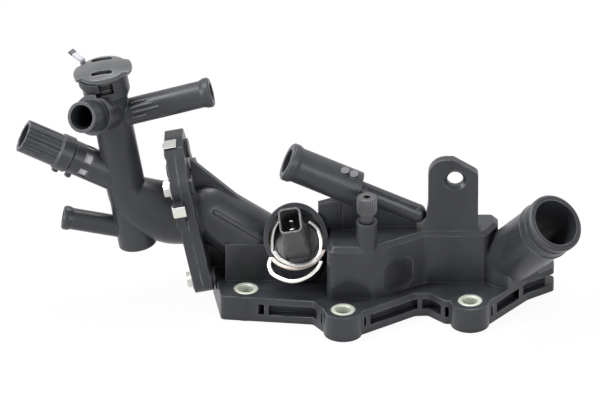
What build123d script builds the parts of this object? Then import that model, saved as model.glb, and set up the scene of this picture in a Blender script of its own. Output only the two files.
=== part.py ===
"""Engine coolant flange: a hollow moulded housing with a branch tower bolted to its side port.

Millimetres, +Z up. The origin is the foot of the middle front bolt sleeve, on the base face.
+X runs along the housing towards its wide outlet, and the bolt side of the base faces -Y.
"""
import os
from math import cos, radians, sin, tan

from build123d import *

os.makedirs("parts", exist_ok=True)

# Bolts of the base: the sleeves are steel tubes that take the bolt load
bolt_bore_r = 4.25
sleeve_wall = 2.75
sleeve_chamfer = 0.5
bolt_boss_wall = 3.9
bolt_spots = [(-54.3, 24.1), (0.0, 0.0), (71.1, 10.3), (-22.0, 66.0), (58.0, 65.0)]

# Base flange
flange_t = 15.0
front_left = (-68.3, 15.1)
front_mid = (-16.8, 9.0)
after_middle_boss = (10.6, -2.5)
waist_left = (40.3, 18.6)
waist_right = (47.6, 19.2)
before_right_boss = (57.0, 9.9)
after_right_boss = (80.6, 7.6)
right_slope = (103.6, 37.0)
right_end = (118.7, 48.0)
right_end_back = (118.7, 57.5)
back_right = (84.0, 63.0)
back_mid = (18.0, 62.0)
back_left = (-60.0, 64.0)
left_back = (-73.0, 47.0)
flange_corner_r = 3.0
pocket_lip = 4.5
pocket_h = 6.5
pocket_depth = 5.0
pocket_rib_t = 2.4
pocket_rib_x = (-43.0, -13.5, 14.0, 43.0, 56.0, 85.0, 100.0)
pocket_start_x = -47.6

# Walls and the main chamber
wall = 3.0
roof_z = 47.0
roof_chamfer = 2.5
chamber_corner_r = 5.0
facet_front_y = 11.7
facet_front_x = (-9.0, 16.0)
facet_back_y = 30.7
facet_back_x = (46.0, 80.0)
facet_right_run = 12.0
chamber_back_y = 54.0
chamber_right_x = 87.0
chamber_left_x = -66.0
left_wall_y = 33.0
left_roof_z = 38.0
window_sink = 1.2
window_size = (19.0, 18.0)
window_corner_r = 5.0
window_z = 25.6
arch_r = 12.3
arch_centre_z = 14.0
arch_sink = 0.9

# Gasket in the underside of the base
gasket_w = 2.8
gasket_groove_depth = 2.4
gasket_side_gap = 0.2
gasket_from_chamber = 1.6
hollow_left_x = -50.0
hollow_low_y = 37.0

# Lifting ear
ear_x = (47.6, 75.6)
ear_y = 33.0
ear_t = 5.0
ear_top_z = 92.0
ear_low_z = 83.5
ear_hole = (62.7, 79.0)
ear_hole_r = 4.5
ear_hole_chamfer = 1.9
ear_left_r = 10.0
ear_right_r = 4.0
gusset_w = 2.2
gusset_left_h = 17.0
gusset_right_h = 3.0

# Wide outlet: a foot on the flange turning into a barrel that leans 45 degrees
outlet_elbow = (94.1, 39.5, 27.1)
outlet_bore_r = 13.4
outlet_r = 16.0
outlet_bead_rise = 0.8
outlet_bead_w = 3.0
outlet_band_w = 13.0
outlet_step_rise = 0.4
outlet_length = 50.6
outlet_lean = 45.0
outlet_heading = -46.1
outlet_foot_bore_r = 12.6

# Middle spigot: a tube that ends over its riser, and a slim closed tail on the same line
spigot_y = 39.0
spigot_mouth = (-31.4, 88.3)
spigot_fall = 24.6
spigot_r = 10.0
spigot_bore_r = 7.2
spigot_bead_rise = 1.0
spigot_bead_w = 3.0
spigot_length = 43.0
spigot_bore_length = 38.0
spigot_beaded = 32.0
tail_r = 5.3
tail_length = 80.0
tail_web_t = 3.0
spigot_stop_lean = 0.35
spigot_stop_r = 2.6
spigot_stop_rise = 1.8
spigot_stop_spots = (35.8, 41.0)
tail_groove_w = 2.0
tail_groove_depth = 0.8
tail_groove_turn = 50.0
tail_groove_run = (48.0, 30.0)
riser_x = (-2.1, 7.7)
riser_y = (34.0, 48.0)
riser_wall = 2.2
riser_corner_r = 3.0
riser_sink = 6.0
riser_top = 71.0
gusset_x = -14.0
gusset_y = (36.0, 41.0)
gusset_top = (61.5, 65.0)

# Bleed screw and its boss
bleed_spot = (13.2, 17.6)
bleed_boss_r = 5.9
bleed_boss_top = 61.7
bleed_neck_r = 3.9
bleed_thread_r = 3.5
bleed_thread_length = 12.0
bleed_run_out = 1.5
bleed_head_r = 5.8
bleed_head_gap = 5.0
bleed_head_h = 10.7
bleed_flutes = 16
bleed_flute_r = 0.6
bleed_recess_r = 2.0
bleed_recess_depth = 2.4
bleed_channel_r = 1.6
bleed_seal_r = 0.7
bleed_seal_at = 2.4
bleed_seat_gap = 0.3
running_gap = 0.05
part_gap = 0.2

# Sensor port, looking down its axis
sensor_centre = (-25.8, 32.0, 40.2)
sensor_axis = (-0.14, -0.568, 0.811)
seat_r = 16.0
seat_h = 20.0
seat_bore_r = 10.2
seat_depth = 28.0
guard_r = 18.0
guard_wall = 2.6
guard_h = 5.3
guard_slope = 0.474
guard_root = 16.0
guard_open = 0.4
sensor_disc_r = 11.8
sensor_disc_t = 3.2
sensor_stem_r = 10.05
sensor_stem_length = 11.0
connector_reach = 28.0
connector_size = (12.6, 15.5)
connector_wall = 1.0
connector_foot_grow = (3.0, 5.0)
connector_corner_r = 3.0
connector_depth = 15.0
connector_foot_h = 11.0
pin_size = (2.2, 0.7)
pin_pitch = 5.2
pin_reach = 9.0
probe_r = 3.6
probe_length = 9.0
probe_tip_r = 2.2
probe_collar_r = 6.2
probe_collar_h = 3.0
sensor_seal_r = 1.1
sensor_seal_at = 5.5
clip_inner_r = 12.5
clip_w = 1.9
clip_t = 1.2
clip_bow_drop = 8.8
clip_lift = 0.1
clip_join_turn = 30.0
clip_open_w = 14.0
clip_r_far = 18.0

# Port that joins the housing and the tower
port_centre = (-85.7, 50.0, 49.5)
port_lean = 11.0
port_r = 17.4
port_bore_r = 13.0
plate_t = 5.2
plate_rim = 4.6
joint_ears = [(-12.0, 36.0), (0.0, -40.5), (-19.0, -27.0), (18.0, -18.0)]
joint_ear_r = 8.0
top_ear_size = (24.0, 15.0)
top_ear_corner_r = 2.5
plate_lug = (-29.0, -15.0)
plate_lug_size = (10.0, 14.0)
joint_screw_r = 2.6
joint_screw_gap = 0.3
joint_head_r = 5.0
joint_head_h = 5.0
joint_washer_r = 6.2
joint_washer_t = 1.2
joint_boss_r = 5.4
joint_boss_length = 2.2
joint_hole_floor = 1.5
joint_tip_gap = 1.5
joint_gasket_r = 15.6
joint_gasket_w = 2.4
joint_gasket_depth = 1.8

# Duct between the port and the chamber, with its web
duct_end = (-42.0, 28.0)
duct_neck = 9.0
duct_r = 16.5
duct_bore_r = 13.0
web_t = 3.2
web_top = (-85.5, 84.0)
web_end = (-40.0, 43.0)
duct_rib_r = 1.5
duct_rib_turn = 29.0
duct_rib_length = 42.0

# Branch tower
tower_foot = (-117.1, 50.0, 41.1)
tower_lean = -9.85
tower_r = 10.8
tower_wall = 2.8
tower_end_z = 30.0
tower_top_z = 122.0
tower_floor_t = 3.0
branch_z = 62.0
branch_bead_w = 2.5
horn_root_r = 10.4
horn_fall = 20.0

# Branches of the tower: root point, lean, length, tube, bead and bore
upper_root = (-129.4, 50.0, 110.9)
upper_rise = 15.4
upper_length = 58.0
upper_r = 7.6
upper_bead_r = 8.5
upper_bore_r = 5.2
lower_root = (-117.0, 50.0, 38.6)
lower_rise = 10.7
lower_length = 40.9
lower_r = 6.1
lower_bead_r = 6.8
lower_bore_r = 4.0
front_root = (-129.8, 50.0, 113.5)
front_axis = (-0.47, -0.814, 0.342)
front_collar_at = 21.4
front_length = 34.0
front_collar_r = 11.5
front_collar_w = 3.0
front_collar_step = 1.2
front_mouth_r = 8.8
front_bore_r = 7.0

# Quick coupling on the left of the tower: a receiver with windows, and the plug held in it
coupling_root = (-122.6, 50.0, 70.9)
coupling_rise = 26.1
coupling_length = 62.6
coupling_r = 9.4
coupling_bore_r = 4.8
receiver_length = 33.0
receiver_floor = 12.0
receiver_r = 7.2
receiver_lug_at = 29.6
plug_lug_at = 37.4
lug_r = 1.9
lug_reach = 12.4
lock_at = 22.0
lock_w = 4.6
lock_inner_r = 6.3
lock_outer_r = 8.4
lock_windows = 6
lock_window_w = 5.4
lock_window_turn = 12.0
plug_r = 7.0
collar_r = 10.3
collar_w = 8.6
grip_grooves = 12
grip_groove_r = 0.8
collar_chamfer = 1.0
socket_bore_r = 7.2
socket_depth = 13.0
plug_seal_r = 0.7
plug_seal_at = 17.5

# Vent plug on top of the tower
cap_top_z = 143.6
cap_r = 14.0
cap_t = 5.0
cap_crown_r = 42.0
cap_wing_r = 16.6
cap_wing_w = 15.0
cap_slot_l = 12.3
cap_slot_y = 8.0
cap_slot_w = (3.5, 5.0)
cap_slot_depth = 3.2
cap_stem_length = 9.0
cap_seal_r = 1.2
cap_seal_at = 4.6
neck_flare_r = 13.2
neck_flare_h = 5.0
neck_wall = 2.4
neck_window_w = 10.0
neck_window_h = 6.5
neck_window_drop = 1.5
vent_clip_t = 1.6
vent_clip_h = 5.0
vent_clip_gap = 0.5
vent_clip_end = 2.6
vent_tab_w = 4.0
vent_tab_t = 1.6
vent_tab_turn = 137.0
vent_tab_tip = (22.0, 8.0)

# Shared small sizes: hose mouths, elbows, clearances, and a reach beyond anything that is cut
mouth_bevel = 1.0
mouth_bevel_drop = 0.2
bead_slope = 2.5
elbow_swell = 0.12
pocket_clear = 1.0
beyond = 400.0

FOOT = (Align.CENTER, Align.CENTER, Align.MIN)


def rod(start, axis, length, radius, mode=Mode.ADD):
    """A round bar that starts at a point and runs along an axis."""
    with Locations(Plane(origin=start, z_dir=axis)):
        Cylinder(radius, length, align=FOOT, mode=mode)


def taper(start, axis, length, radius, end_radius, mode=Mode.ADD):
    """A round bar whose radius changes evenly from its start to its end."""
    with Locations(Plane(origin=start, z_dir=axis)):
        Cone(radius, end_radius, length, align=FOOT, mode=mode)


def ball(centre, radius, mode=Mode.ADD):
    """A ball that rounds the corner of an elbow, a trace wider than the tubes that meet in it."""
    with Locations(centre):
        Sphere(radius + elbow_swell, mode=mode)


def on_line(start, axis, distance):
    """The point that lies a distance along an axis from its start."""
    way = Vector(*axis).normalized()
    return Vector(*start) + way * distance


def seal_groove(plane, bore_r, cord_r):
    """Cuts the groove of a round seal that touches a bore, in the stem being built."""
    floor_r = bore_r - 2 * cord_r - 2 * running_gap
    with BuildSketch(plane.offset(-cord_r - running_gap)) as groove:
        Circle(bore_r + 1)
        Circle(floor_r, mode=Mode.SUBTRACT)
    extrude(groove.sketch, amount=2 * (cord_r + running_gap), mode=Mode.SUBTRACT)


def seal_ring(plane, bore_r, cord_r):
    """A round seal that lies in its groove, just inside a bore."""
    with Locations(plane):
        Torus(bore_r - running_gap - cord_r, cord_r)


def hose_end(start, axis, length, radius, bead_r, bead_w):
    """A hose spigot: a tube with a raised bead at its mouth that slopes back to the tube."""
    rise = bead_r - radius
    rod(start, axis, length, radius)
    crest = length - mouth_bevel - bead_w
    taper(on_line(start, axis, crest - bead_slope * rise), axis, bead_slope * rise, radius, bead_r)
    rod(on_line(start, axis, crest), axis, bead_w, bead_r)
    taper(on_line(start, axis, crest + bead_w), axis, mouth_bevel, bead_r, radius - mouth_bevel_drop)


# Sizes that follow from the driving ones
sleeve_r = bolt_bore_r + sleeve_wall
bolt_boss_r = sleeve_r + bolt_boss_wall
outline_points = [
    front_left, front_mid, (-bolt_boss_r * 0.75, -bolt_boss_r * 0.35), after_middle_boss,
    waist_left, waist_right, before_right_boss, after_right_boss, right_slope, right_end,
    right_end_back, back_right, back_mid, back_left, left_back,
]
outlet_axis = (cos(radians(outlet_lean)) * cos(radians(outlet_heading)),
               cos(radians(outlet_lean)) * sin(radians(outlet_heading)),
               sin(radians(outlet_lean)))
spigot_start = (spigot_mouth[0], spigot_y, spigot_mouth[1])
spigot_down = (cos(radians(spigot_fall)), 0, -sin(radians(spigot_fall)))
spigot_up = (-spigot_down[0], 0, -spigot_down[2])
port_normal = (-cos(radians(port_lean)), 0, -sin(radians(port_lean)))
port_plane = Plane(origin=port_centre, x_dir=(0, 1, 0), z_dir=port_normal)
seat_plane = Plane(origin=sensor_centre, x_dir=(1, 0, 0.17), z_dir=sensor_axis)
seat_floor = on_line(sensor_centre, sensor_axis, -sensor_disc_t)
guard_reach = guard_h + guard_slope * guard_r
guard_rim = Plane(origin=seat_plane.offset(guard_h).origin, x_dir=seat_plane.x_dir,
                  z_dir=seat_plane.z_dir - seat_plane.y_dir * guard_slope)
duct_foot = (duct_end[0], port_centre[1], duct_end[1])
duct_bend = on_line(port_centre, port_normal, -duct_neck)
duct_axis = Vector(*duct_foot) - duct_bend
duct_rib_way = Vector(0, -1, 0).rotate(Axis((0, 0, 0), duct_axis), -duct_rib_turn)
tower_axis = (sin(radians(tower_lean)), 0, cos(radians(tower_lean)))


def tower_point(height):
    """The point of the tower's axis at a height above the base."""
    x = tower_foot[0] + (height - tower_foot[2]) * tower_axis[0] / tower_axis[2]
    return (x, tower_foot[1], height)


neck_start = tower_point(tower_top_z)
cap_centre = tower_point(cap_top_z)
neck_h = (cap_top_z - tower_top_z) / tower_axis[2] - cap_t - neck_flare_h
upper_axis = (cos(radians(upper_rise)), 0, sin(radians(upper_rise)))
lower_axis = (-cos(radians(lower_rise)), 0, sin(radians(lower_rise)))
coupling_axis = (-cos(radians(coupling_rise)), 0, sin(radians(coupling_rise)))
coupling_down = (-sin(radians(coupling_rise)), 0, -cos(radians(coupling_rise)))
horn_plane = Plane(origin=tower_point(branch_z), x_dir=(0, 1, 0),
                   z_dir=(-cos(radians(horn_fall)), 0, sin(radians(horn_fall))))


def spigot_height(x):
    """The height of the middle spigot's axis at a place along the housing."""
    return spigot_mouth[1] - (x - spigot_mouth[0]) * tan(radians(spigot_fall))


window_plane = Plane(
    origin=((facet_front_x[1] + facet_back_x[0]) / 2, (facet_front_y + facet_back_y) / 2, window_z),
    x_dir=(facet_back_x[0] - facet_front_x[1], facet_back_y - facet_front_y, 0),
    z_dir=(facet_back_y - facet_front_y, facet_front_x[1] - facet_back_x[0], 0))
arch_plane = Plane(origin=(sum(facet_front_x) / 2, facet_front_y, arch_centre_z),
                   x_dir=(1, 0, 0), z_dir=(0, -1, 0))
groove_way = Vector(0, -1, 0).rotate(Axis((0, 0, 0), spigot_down), -tail_groove_turn)
groove_plane = Plane(
    origin=on_line(spigot_start, spigot_down, tail_groove_run[0]) + groove_way * tail_r,
    x_dir=spigot_down, z_dir=groove_way)
tail_end = on_line(spigot_start, spigot_down, tail_length)
riser_low = left_roof_z - riser_sink
plate_foot_x = port_centre[0] + (port_centre[2] - flange_t) * tan(radians(port_lean))

# Outline of the two plates of the joint, round the port and its ears
with BuildSketch() as joint_outline:
    Circle(port_r + plate_rim)
    for spot in joint_ears:
        with Locations(spot):
            Circle(joint_ear_r)
    with Locations(joint_ears[1]):
        RectangleRounded(*top_ear_size, top_ear_corner_r)
    make_hull()

# The plan of the flange, with its corners rounded
with BuildSketch() as flange_plan:
    with BuildLine():
        Polyline(*outline_points, close=True)
    make_face()
    fillet(flange_plan.vertices(), flange_corner_r)

# The plan of the main chamber, with its facets towards the bolts
with BuildSketch() as chamber_outline:
    with BuildLine():
        Polyline(
            (facet_front_x[0], chamber_back_y), (facet_front_x[0], facet_front_y),
            (facet_front_x[1], facet_front_y), (facet_back_x[0], facet_back_y),
            (facet_back_x[1], facet_back_y), (chamber_right_x, facet_back_y + facet_right_run),
            (chamber_right_x, chamber_back_y), close=True)
    make_face()

# Guard wall round the back of the sensor, its rim sloping down to the front
with BuildPart() as guard:
    with BuildSketch(seat_plane.offset(-guard_root)):
        Circle(guard_r)
        Circle(guard_r - guard_wall, mode=Mode.SUBTRACT)
        with Locations((0, -guard_open * guard_r)):
            Rectangle(3 * guard_r, 3 * guard_r, align=(Align.CENTER, Align.MAX), mode=Mode.SUBTRACT)
    extrude(amount=guard_reach + guard_root)
    split(bisect_by=guard_rim, keep=Keep.BOTTOM)

# The outer skin of the housing
with BuildPart() as skin:
    with BuildSketch():
        add(flange_plan.sketch)
        with Locations(*bolt_spots):
            Circle(bolt_boss_r)
    extrude(amount=flange_t)

    # Main chamber: the facets of its bolt side, and the long low part under the duct
    with BuildSketch() as rounded_chamber:
        add(chamber_outline.sketch)
        fillet(rounded_chamber.vertices(), chamber_corner_r)
    extrude(amount=roof_z)
    chamfer(faces().filter_by(Plane.XY).sort_by(Axis.Z)[-1].edges(), roof_chamfer)
    with BuildSketch():
        with BuildLine():
            Polyline(
                (chamber_left_x, left_wall_y), (facet_front_x[0], left_wall_y),
                (facet_front_x[0], chamber_back_y), (chamber_left_x, chamber_back_y), close=True)
        make_face()
    extrude(amount=left_roof_z)

    # Duct from the port, and the web that stiffens it
    rod(duct_bend, port_normal, duct_neck, duct_r)
    ball(duct_bend, duct_r)
    rod(duct_bend, duct_axis, duct_axis.length, duct_r)
    ball(duct_foot, duct_r)
    rod(duct_bend + duct_rib_way * duct_r, duct_axis, duct_rib_length, duct_rib_r)
    with BuildSketch(Plane.XZ.offset(-port_centre[1])):
        with BuildLine():
            Polyline(web_top, web_end, (web_end[0], duct_end[1]),
                     (port_centre[0], port_centre[2]), close=True)
        make_face()
        with BuildLine():
            Polyline((port_centre[0], port_centre[2]), duct_end, (chamber_left_x + wall, flange_t),
                     (plate_foot_x, flange_t), close=True)
        make_face()
    extrude(amount=web_t / 2, both=True)

    # Wide outlet: its foot stays inside the flange, then it leans out over the edge
    with BuildSketch():
        with Locations(outlet_elbow[:2]):
            Circle(outlet_r)
        add(flange_plan.sketch, mode=Mode.INTERSECT)
    extrude(amount=outlet_elbow[2])
    ball(outlet_elbow, outlet_r)
    hose_end(outlet_elbow, outlet_axis, outlet_length, outlet_r,
             outlet_r + outlet_bead_rise, outlet_bead_w)
    band_start = on_line(outlet_elbow, outlet_axis, outlet_length - outlet_band_w)
    rod(band_start, outlet_axis, outlet_band_w / 2, outlet_r + outlet_step_rise)
    rod(band_start, outlet_axis, outlet_bead_rise, outlet_r + outlet_bead_rise)

    # Middle spigot on its riser, with a gusset on the left and the tail on its web on the right
    with BuildSketch(Plane.XY.offset(riser_low)):
        with Locations((sum(riser_x) / 2, sum(riser_y) / 2)):
            RectangleRounded(riser_x[1] - riser_x[0], riser_y[1] - riser_y[0], riser_corner_r)
    extrude(amount=riser_top - riser_low)
    with BuildSketch(Plane.XZ.offset(-gusset_y[0])):
        with BuildLine():
            Polyline((gusset_x, riser_low), (gusset_x, gusset_top[0]), (riser_x[0], gusset_top[1]),
                     (sum(riser_x) / 2, gusset_top[1]), (sum(riser_x) / 2, riser_low), close=True)
        make_face()
    extrude(amount=-(gusset_y[1] - gusset_y[0]))
    with BuildSketch(Plane.XZ.offset(-spigot_y)):
        with BuildLine():
            Polyline((sum(riser_x) / 2, spigot_height(sum(riser_x) / 2)), (tail_end.X, tail_end.Z),
                     (tail_end.X, riser_low), (sum(riser_x) / 2, riser_low), close=True)
        make_face()
    extrude(amount=tail_web_t / 2, both=True)
    rod(spigot_start, spigot_down, spigot_length, spigot_r)
    rod(spigot_start, spigot_down, tail_length, tail_r)
    ball(tail_end, tail_r)
    hose_end(on_line(spigot_start, spigot_down, spigot_beaded), spigot_up, spigot_beaded, spigot_r,
             spigot_r + spigot_bead_rise, spigot_bead_w)
    for distance in spigot_stop_spots:
        rod(on_line(spigot_start, spigot_down, distance), (0, -spigot_stop_lean, 1),
            spigot_r + spigot_stop_rise, spigot_stop_r)

    # Sensor boss with its guard wall, and the bleed boss
    rod(on_line(sensor_centre, sensor_axis, -seat_h), sensor_axis, seat_h, seat_r)
    add(guard.part)
    with BuildSketch(Plane.XY.offset(flange_t)):
        with Locations(bleed_spot):
            Circle(bleed_boss_r)
    extrude(amount=bleed_boss_top - flange_t)

    # Lifting ear with a gusset on each side of its foot
    with BuildSketch(Plane.XZ.offset(-ear_y)) as ear_outline:
        with BuildLine():
            Polyline((ear_x[0], flange_t), (ear_x[0], ear_top_z),
                     (ear_hole[0] - 1, ear_top_z), (ear_x[1], ear_low_z), (ear_x[1], flange_t),
                     close=True)
        make_face()
        fillet(ear_outline.vertices().sort_by(Axis.Y)[-2:].sort_by(Axis.X)[0], ear_left_r)
        fillet(ear_outline.vertices().sort_by(Axis.X)[-2:].sort_by(Axis.Y)[-1], ear_right_r)
        with BuildLine():
            Polyline((ear_x[0] - gusset_w, flange_t), (ear_x[0] - gusset_w, roof_z),
                     (ear_x[0], roof_z + gusset_left_h), (ear_x[1], roof_z + gusset_right_h),
                     (ear_x[1] + gusset_w, roof_z), (ear_x[1] + gusset_w, flange_t), close=True)
        make_face()
    extrude(amount=-ear_t)

    # Plate of the side port
    with BuildSketch(port_plane.offset(-plate_t)):
        add(joint_outline.sketch)
    extrude(amount=plate_t)
    with Locations(port_plane):
        with Locations(*[(u, v, -plate_t - joint_boss_length) for u, v in joint_ears]):
            Cylinder(joint_boss_r, joint_boss_length, align=FOOT)
    split(bisect_by=Plane.XY, keep=Keep.TOP)
    split(bisect_by=port_plane, keep=Keep.BOTTOM)

# The openings of the underside: under the main chamber, the duct and the wide outlet
with BuildSketch() as main_opening:
    add(chamber_outline.sketch)
    offset(amount=-wall, mode=Mode.REPLACE)
with BuildSketch() as duct_opening:
    with BuildLine():
        Polyline((hollow_left_x, hollow_low_y), (facet_front_x[0] + wall, hollow_low_y),
                 (facet_front_x[0] + wall, chamber_back_y - wall),
                 (hollow_left_x, chamber_back_y - wall), close=True)
    make_face()
with BuildSketch() as outlet_opening:
    add(flange_plan.sketch)
    offset(amount=-(pocket_depth + wall), mode=Mode.REPLACE)
    with Locations(outlet_elbow[:2]):
        Circle(outlet_foot_bore_r, mode=Mode.INTERSECT)
with BuildSketch() as opening:
    add(main_opening.sketch)
    add(duct_opening.sketch)
    add(outlet_opening.sketch)

# The hollow inside the housing
with BuildPart() as hollow:
    with BuildSketch():
        add(main_opening.sketch)
    extrude(amount=roof_z - wall)
    chamfer(faces().filter_by(Plane.XY).sort_by(Axis.Z)[-1].edges(), roof_chamfer)
    with BuildSketch():
        add(duct_opening.sketch)
    extrude(amount=left_roof_z - wall)
    with BuildSketch():
        add(outlet_opening.sketch)
    extrude(amount=outlet_elbow[2])
    ball(outlet_elbow, outlet_bore_r)
    rod(outlet_elbow, outlet_axis, outlet_length + 1, outlet_bore_r)
    rod(duct_bend, port_normal, duct_neck + 1, duct_bore_r)
    ball(duct_bend, duct_bore_r)
    rod(duct_bend, duct_axis, duct_axis.length, duct_bore_r)
    ball(duct_foot, duct_bore_r)
    rod(on_line(spigot_start, spigot_up, 1), spigot_down, spigot_bore_length, spigot_bore_r)
    with BuildSketch(Plane.XY.offset(riser_low)):
        with Locations((sum(riser_x) / 2, sum(riser_y) / 2)):
            Rectangle(riser_x[1] - riser_x[0] - 2 * riser_wall, riser_y[1] - riser_y[0] - 2 * riser_wall)
    extrude(amount=riser_top - riser_low)
    rod(on_line(sensor_centre, sensor_axis, -seat_depth), sensor_axis, seat_depth, seat_bore_r)
    rod(seat_floor, sensor_axis, sensor_disc_t + 1, sensor_disc_r + part_gap)
    rod(sensor_centre, sensor_axis, guard_reach + 1, guard_r - guard_wall)

# Pockets that core out the edge of the flange, with the ribs left standing between them
with BuildPart() as edge_pockets:
    with BuildSketch(Plane.XY.offset(pocket_lip)):
        add(flange_plan.sketch)
        offset(amount=pocket_clear)
        with BuildSketch(mode=Mode.PRIVATE) as core:
            add(flange_plan.sketch)
            offset(amount=-pocket_depth, mode=Mode.REPLACE)
        add(core.sketch, mode=Mode.SUBTRACT)
        with Locations(*bolt_spots):
            Circle(bolt_boss_r + pocket_clear, mode=Mode.SUBTRACT)
        with Locations(*[(x, 0) for x in pocket_rib_x]):
            Rectangle(pocket_rib_t, beyond, mode=Mode.SUBTRACT)
        with Locations((pocket_start_x, 0)):
            Rectangle(beyond, beyond, align=(Align.MAX, Align.CENTER), mode=Mode.SUBTRACT)
    extrude(amount=pocket_h)

# Housing: the skin, less the hollow, the pockets and every bore and groove
with BuildPart() as housing:
    add(skin.part)
    with BuildSketch(window_plane):
        RectangleRounded(*window_size, window_corner_r)
    extrude(amount=-window_sink, mode=Mode.SUBTRACT)
    with BuildSketch(arch_plane):
        Circle(arch_r)
        with Locations((0, flange_t - arch_centre_z)):
            Rectangle(3 * arch_r, 3 * arch_r, align=(Align.CENTER, Align.MAX), mode=Mode.SUBTRACT)
    extrude(amount=-arch_sink, mode=Mode.SUBTRACT)
    with Locations(groove_plane):
        Box(tail_groove_run[1], tail_groove_w, 2 * tail_groove_depth,
            align=(Align.MIN, Align.CENTER, Align.CENTER), mode=Mode.SUBTRACT)
    add(hollow.part, mode=Mode.SUBTRACT)
    add(edge_pockets.part, mode=Mode.SUBTRACT)
    with Locations(*[(x, y, 0) for x, y in bolt_spots]):
        Cylinder(sleeve_r, flange_t, align=FOOT, mode=Mode.SUBTRACT)
    with BuildSketch():
        add(opening.sketch)
        offset(amount=gasket_from_chamber + 2 * gasket_side_gap + gasket_w, mode=Mode.REPLACE)
        with BuildSketch(mode=Mode.PRIVATE) as groove_inside:
            add(opening.sketch)
            offset(amount=gasket_from_chamber, mode=Mode.REPLACE)
        add(groove_inside.sketch, mode=Mode.SUBTRACT)
    extrude(amount=gasket_groove_depth, mode=Mode.SUBTRACT)
    with Locations(Plane(origin=(ear_hole[0], ear_y, ear_hole[1]), z_dir=(0, -1, 0))):
        CounterSinkHole(ear_hole_r, ear_hole_r + ear_hole_chamfer, depth=ear_t,
                        counter_sink_angle=90)
    with Locations((bleed_spot[0], bleed_spot[1], bleed_boss_top)):
        Cylinder(bleed_thread_r + running_gap, bleed_thread_length + bleed_run_out,
                 align=(Align.CENTER, Align.CENTER, Align.MAX), mode=Mode.SUBTRACT)
        Cylinder(bleed_channel_r, bleed_boss_top - roof_z + wall + roof_chamfer,
                 align=(Align.CENTER, Align.CENTER, Align.MAX), mode=Mode.SUBTRACT)
    with Locations(port_plane):
        Cylinder(joint_gasket_r + joint_gasket_w / 2 + gasket_side_gap, joint_gasket_depth,
                 align=(Align.CENTER, Align.CENTER, Align.MAX), mode=Mode.SUBTRACT)
        with Locations(*[(u, v, 0) for u, v in joint_ears]):
            Cylinder(joint_screw_r, plate_t + joint_boss_length - joint_hole_floor,
                     align=(Align.CENTER, Align.CENTER, Align.MAX), mode=Mode.SUBTRACT)
housing.part.label = "housing"
export_step(housing.part, "parts/housing.step")

# Gasket in the underside, flush with the base face
with BuildPart() as base_gasket:
    with BuildSketch():
        with BuildSketch(mode=Mode.PRIVATE) as gasket_outside:
            add(opening.sketch)
            offset(amount=gasket_from_chamber + gasket_side_gap + gasket_w, mode=Mode.REPLACE)
        with BuildSketch(mode=Mode.PRIVATE) as gasket_inside:
            add(opening.sketch)
            offset(amount=gasket_from_chamber + gasket_side_gap, mode=Mode.REPLACE)
        add(gasket_outside.sketch)
        add(gasket_inside.sketch, mode=Mode.SUBTRACT)
    extrude(amount=gasket_groove_depth)
base_gasket.part.label = "base_gasket"
export_step(base_gasket.part, "parts/base_gasket.step")

# Sleeves of the base bolts
for number, (x, y) in enumerate(bolt_spots, start=1):
    with BuildPart() as sleeve:
        with BuildSketch():
            with Locations((x, y)):
                Circle(sleeve_r)
                Circle(bolt_bore_r, mode=Mode.SUBTRACT)
        extrude(amount=flange_t)
        chamfer(sleeve.edges().filter_by(GeomType.CIRCLE).group_by(Axis.Z)[-1], sleeve_chamfer)
    sleeve.part.label = f"sleeve_{number}"
    export_step(sleeve.part, f"parts/sleeve_{number}.step")

# Branch tower: a closed tube with five branches, and the elbow to the housing's port
with BuildPart() as tower_skin:
    rod(tower_point(tower_end_z), tower_axis,
        (tower_top_z - tower_end_z) / tower_axis[2], tower_r)
    with BuildSketch(horn_plane):
        Circle(horn_root_r)
    with BuildSketch(port_plane.offset(plate_t)):
        Circle(port_r)
    loft()
    hose_end(upper_root, upper_axis, upper_length, upper_r, upper_bead_r, branch_bead_w)
    hose_end(lower_root, lower_axis, lower_length, lower_r, lower_bead_r, branch_bead_w)
    rod(front_root, front_axis, front_length, front_mouth_r)
    rod(front_root, front_axis, front_collar_at, front_collar_r - front_collar_step)
    rod(on_line(front_root, front_axis, front_collar_at - front_collar_w), front_axis,
        front_collar_w, front_collar_r)
    rod(coupling_root, coupling_axis, receiver_length, coupling_r)
    rod(on_line(coupling_root, coupling_axis, receiver_lug_at), coupling_down, lug_reach, lug_r)
    taper(neck_start, tower_axis, neck_flare_h, tower_r, neck_flare_r)
    rod(on_line(neck_start, tower_axis, neck_flare_h), tower_axis, neck_h, neck_flare_r)
    with BuildSketch(port_plane):
        add(joint_outline.sketch)
        with Locations(plate_lug):
            Rectangle(*plate_lug_size)
    extrude(amount=plate_t)
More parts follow.
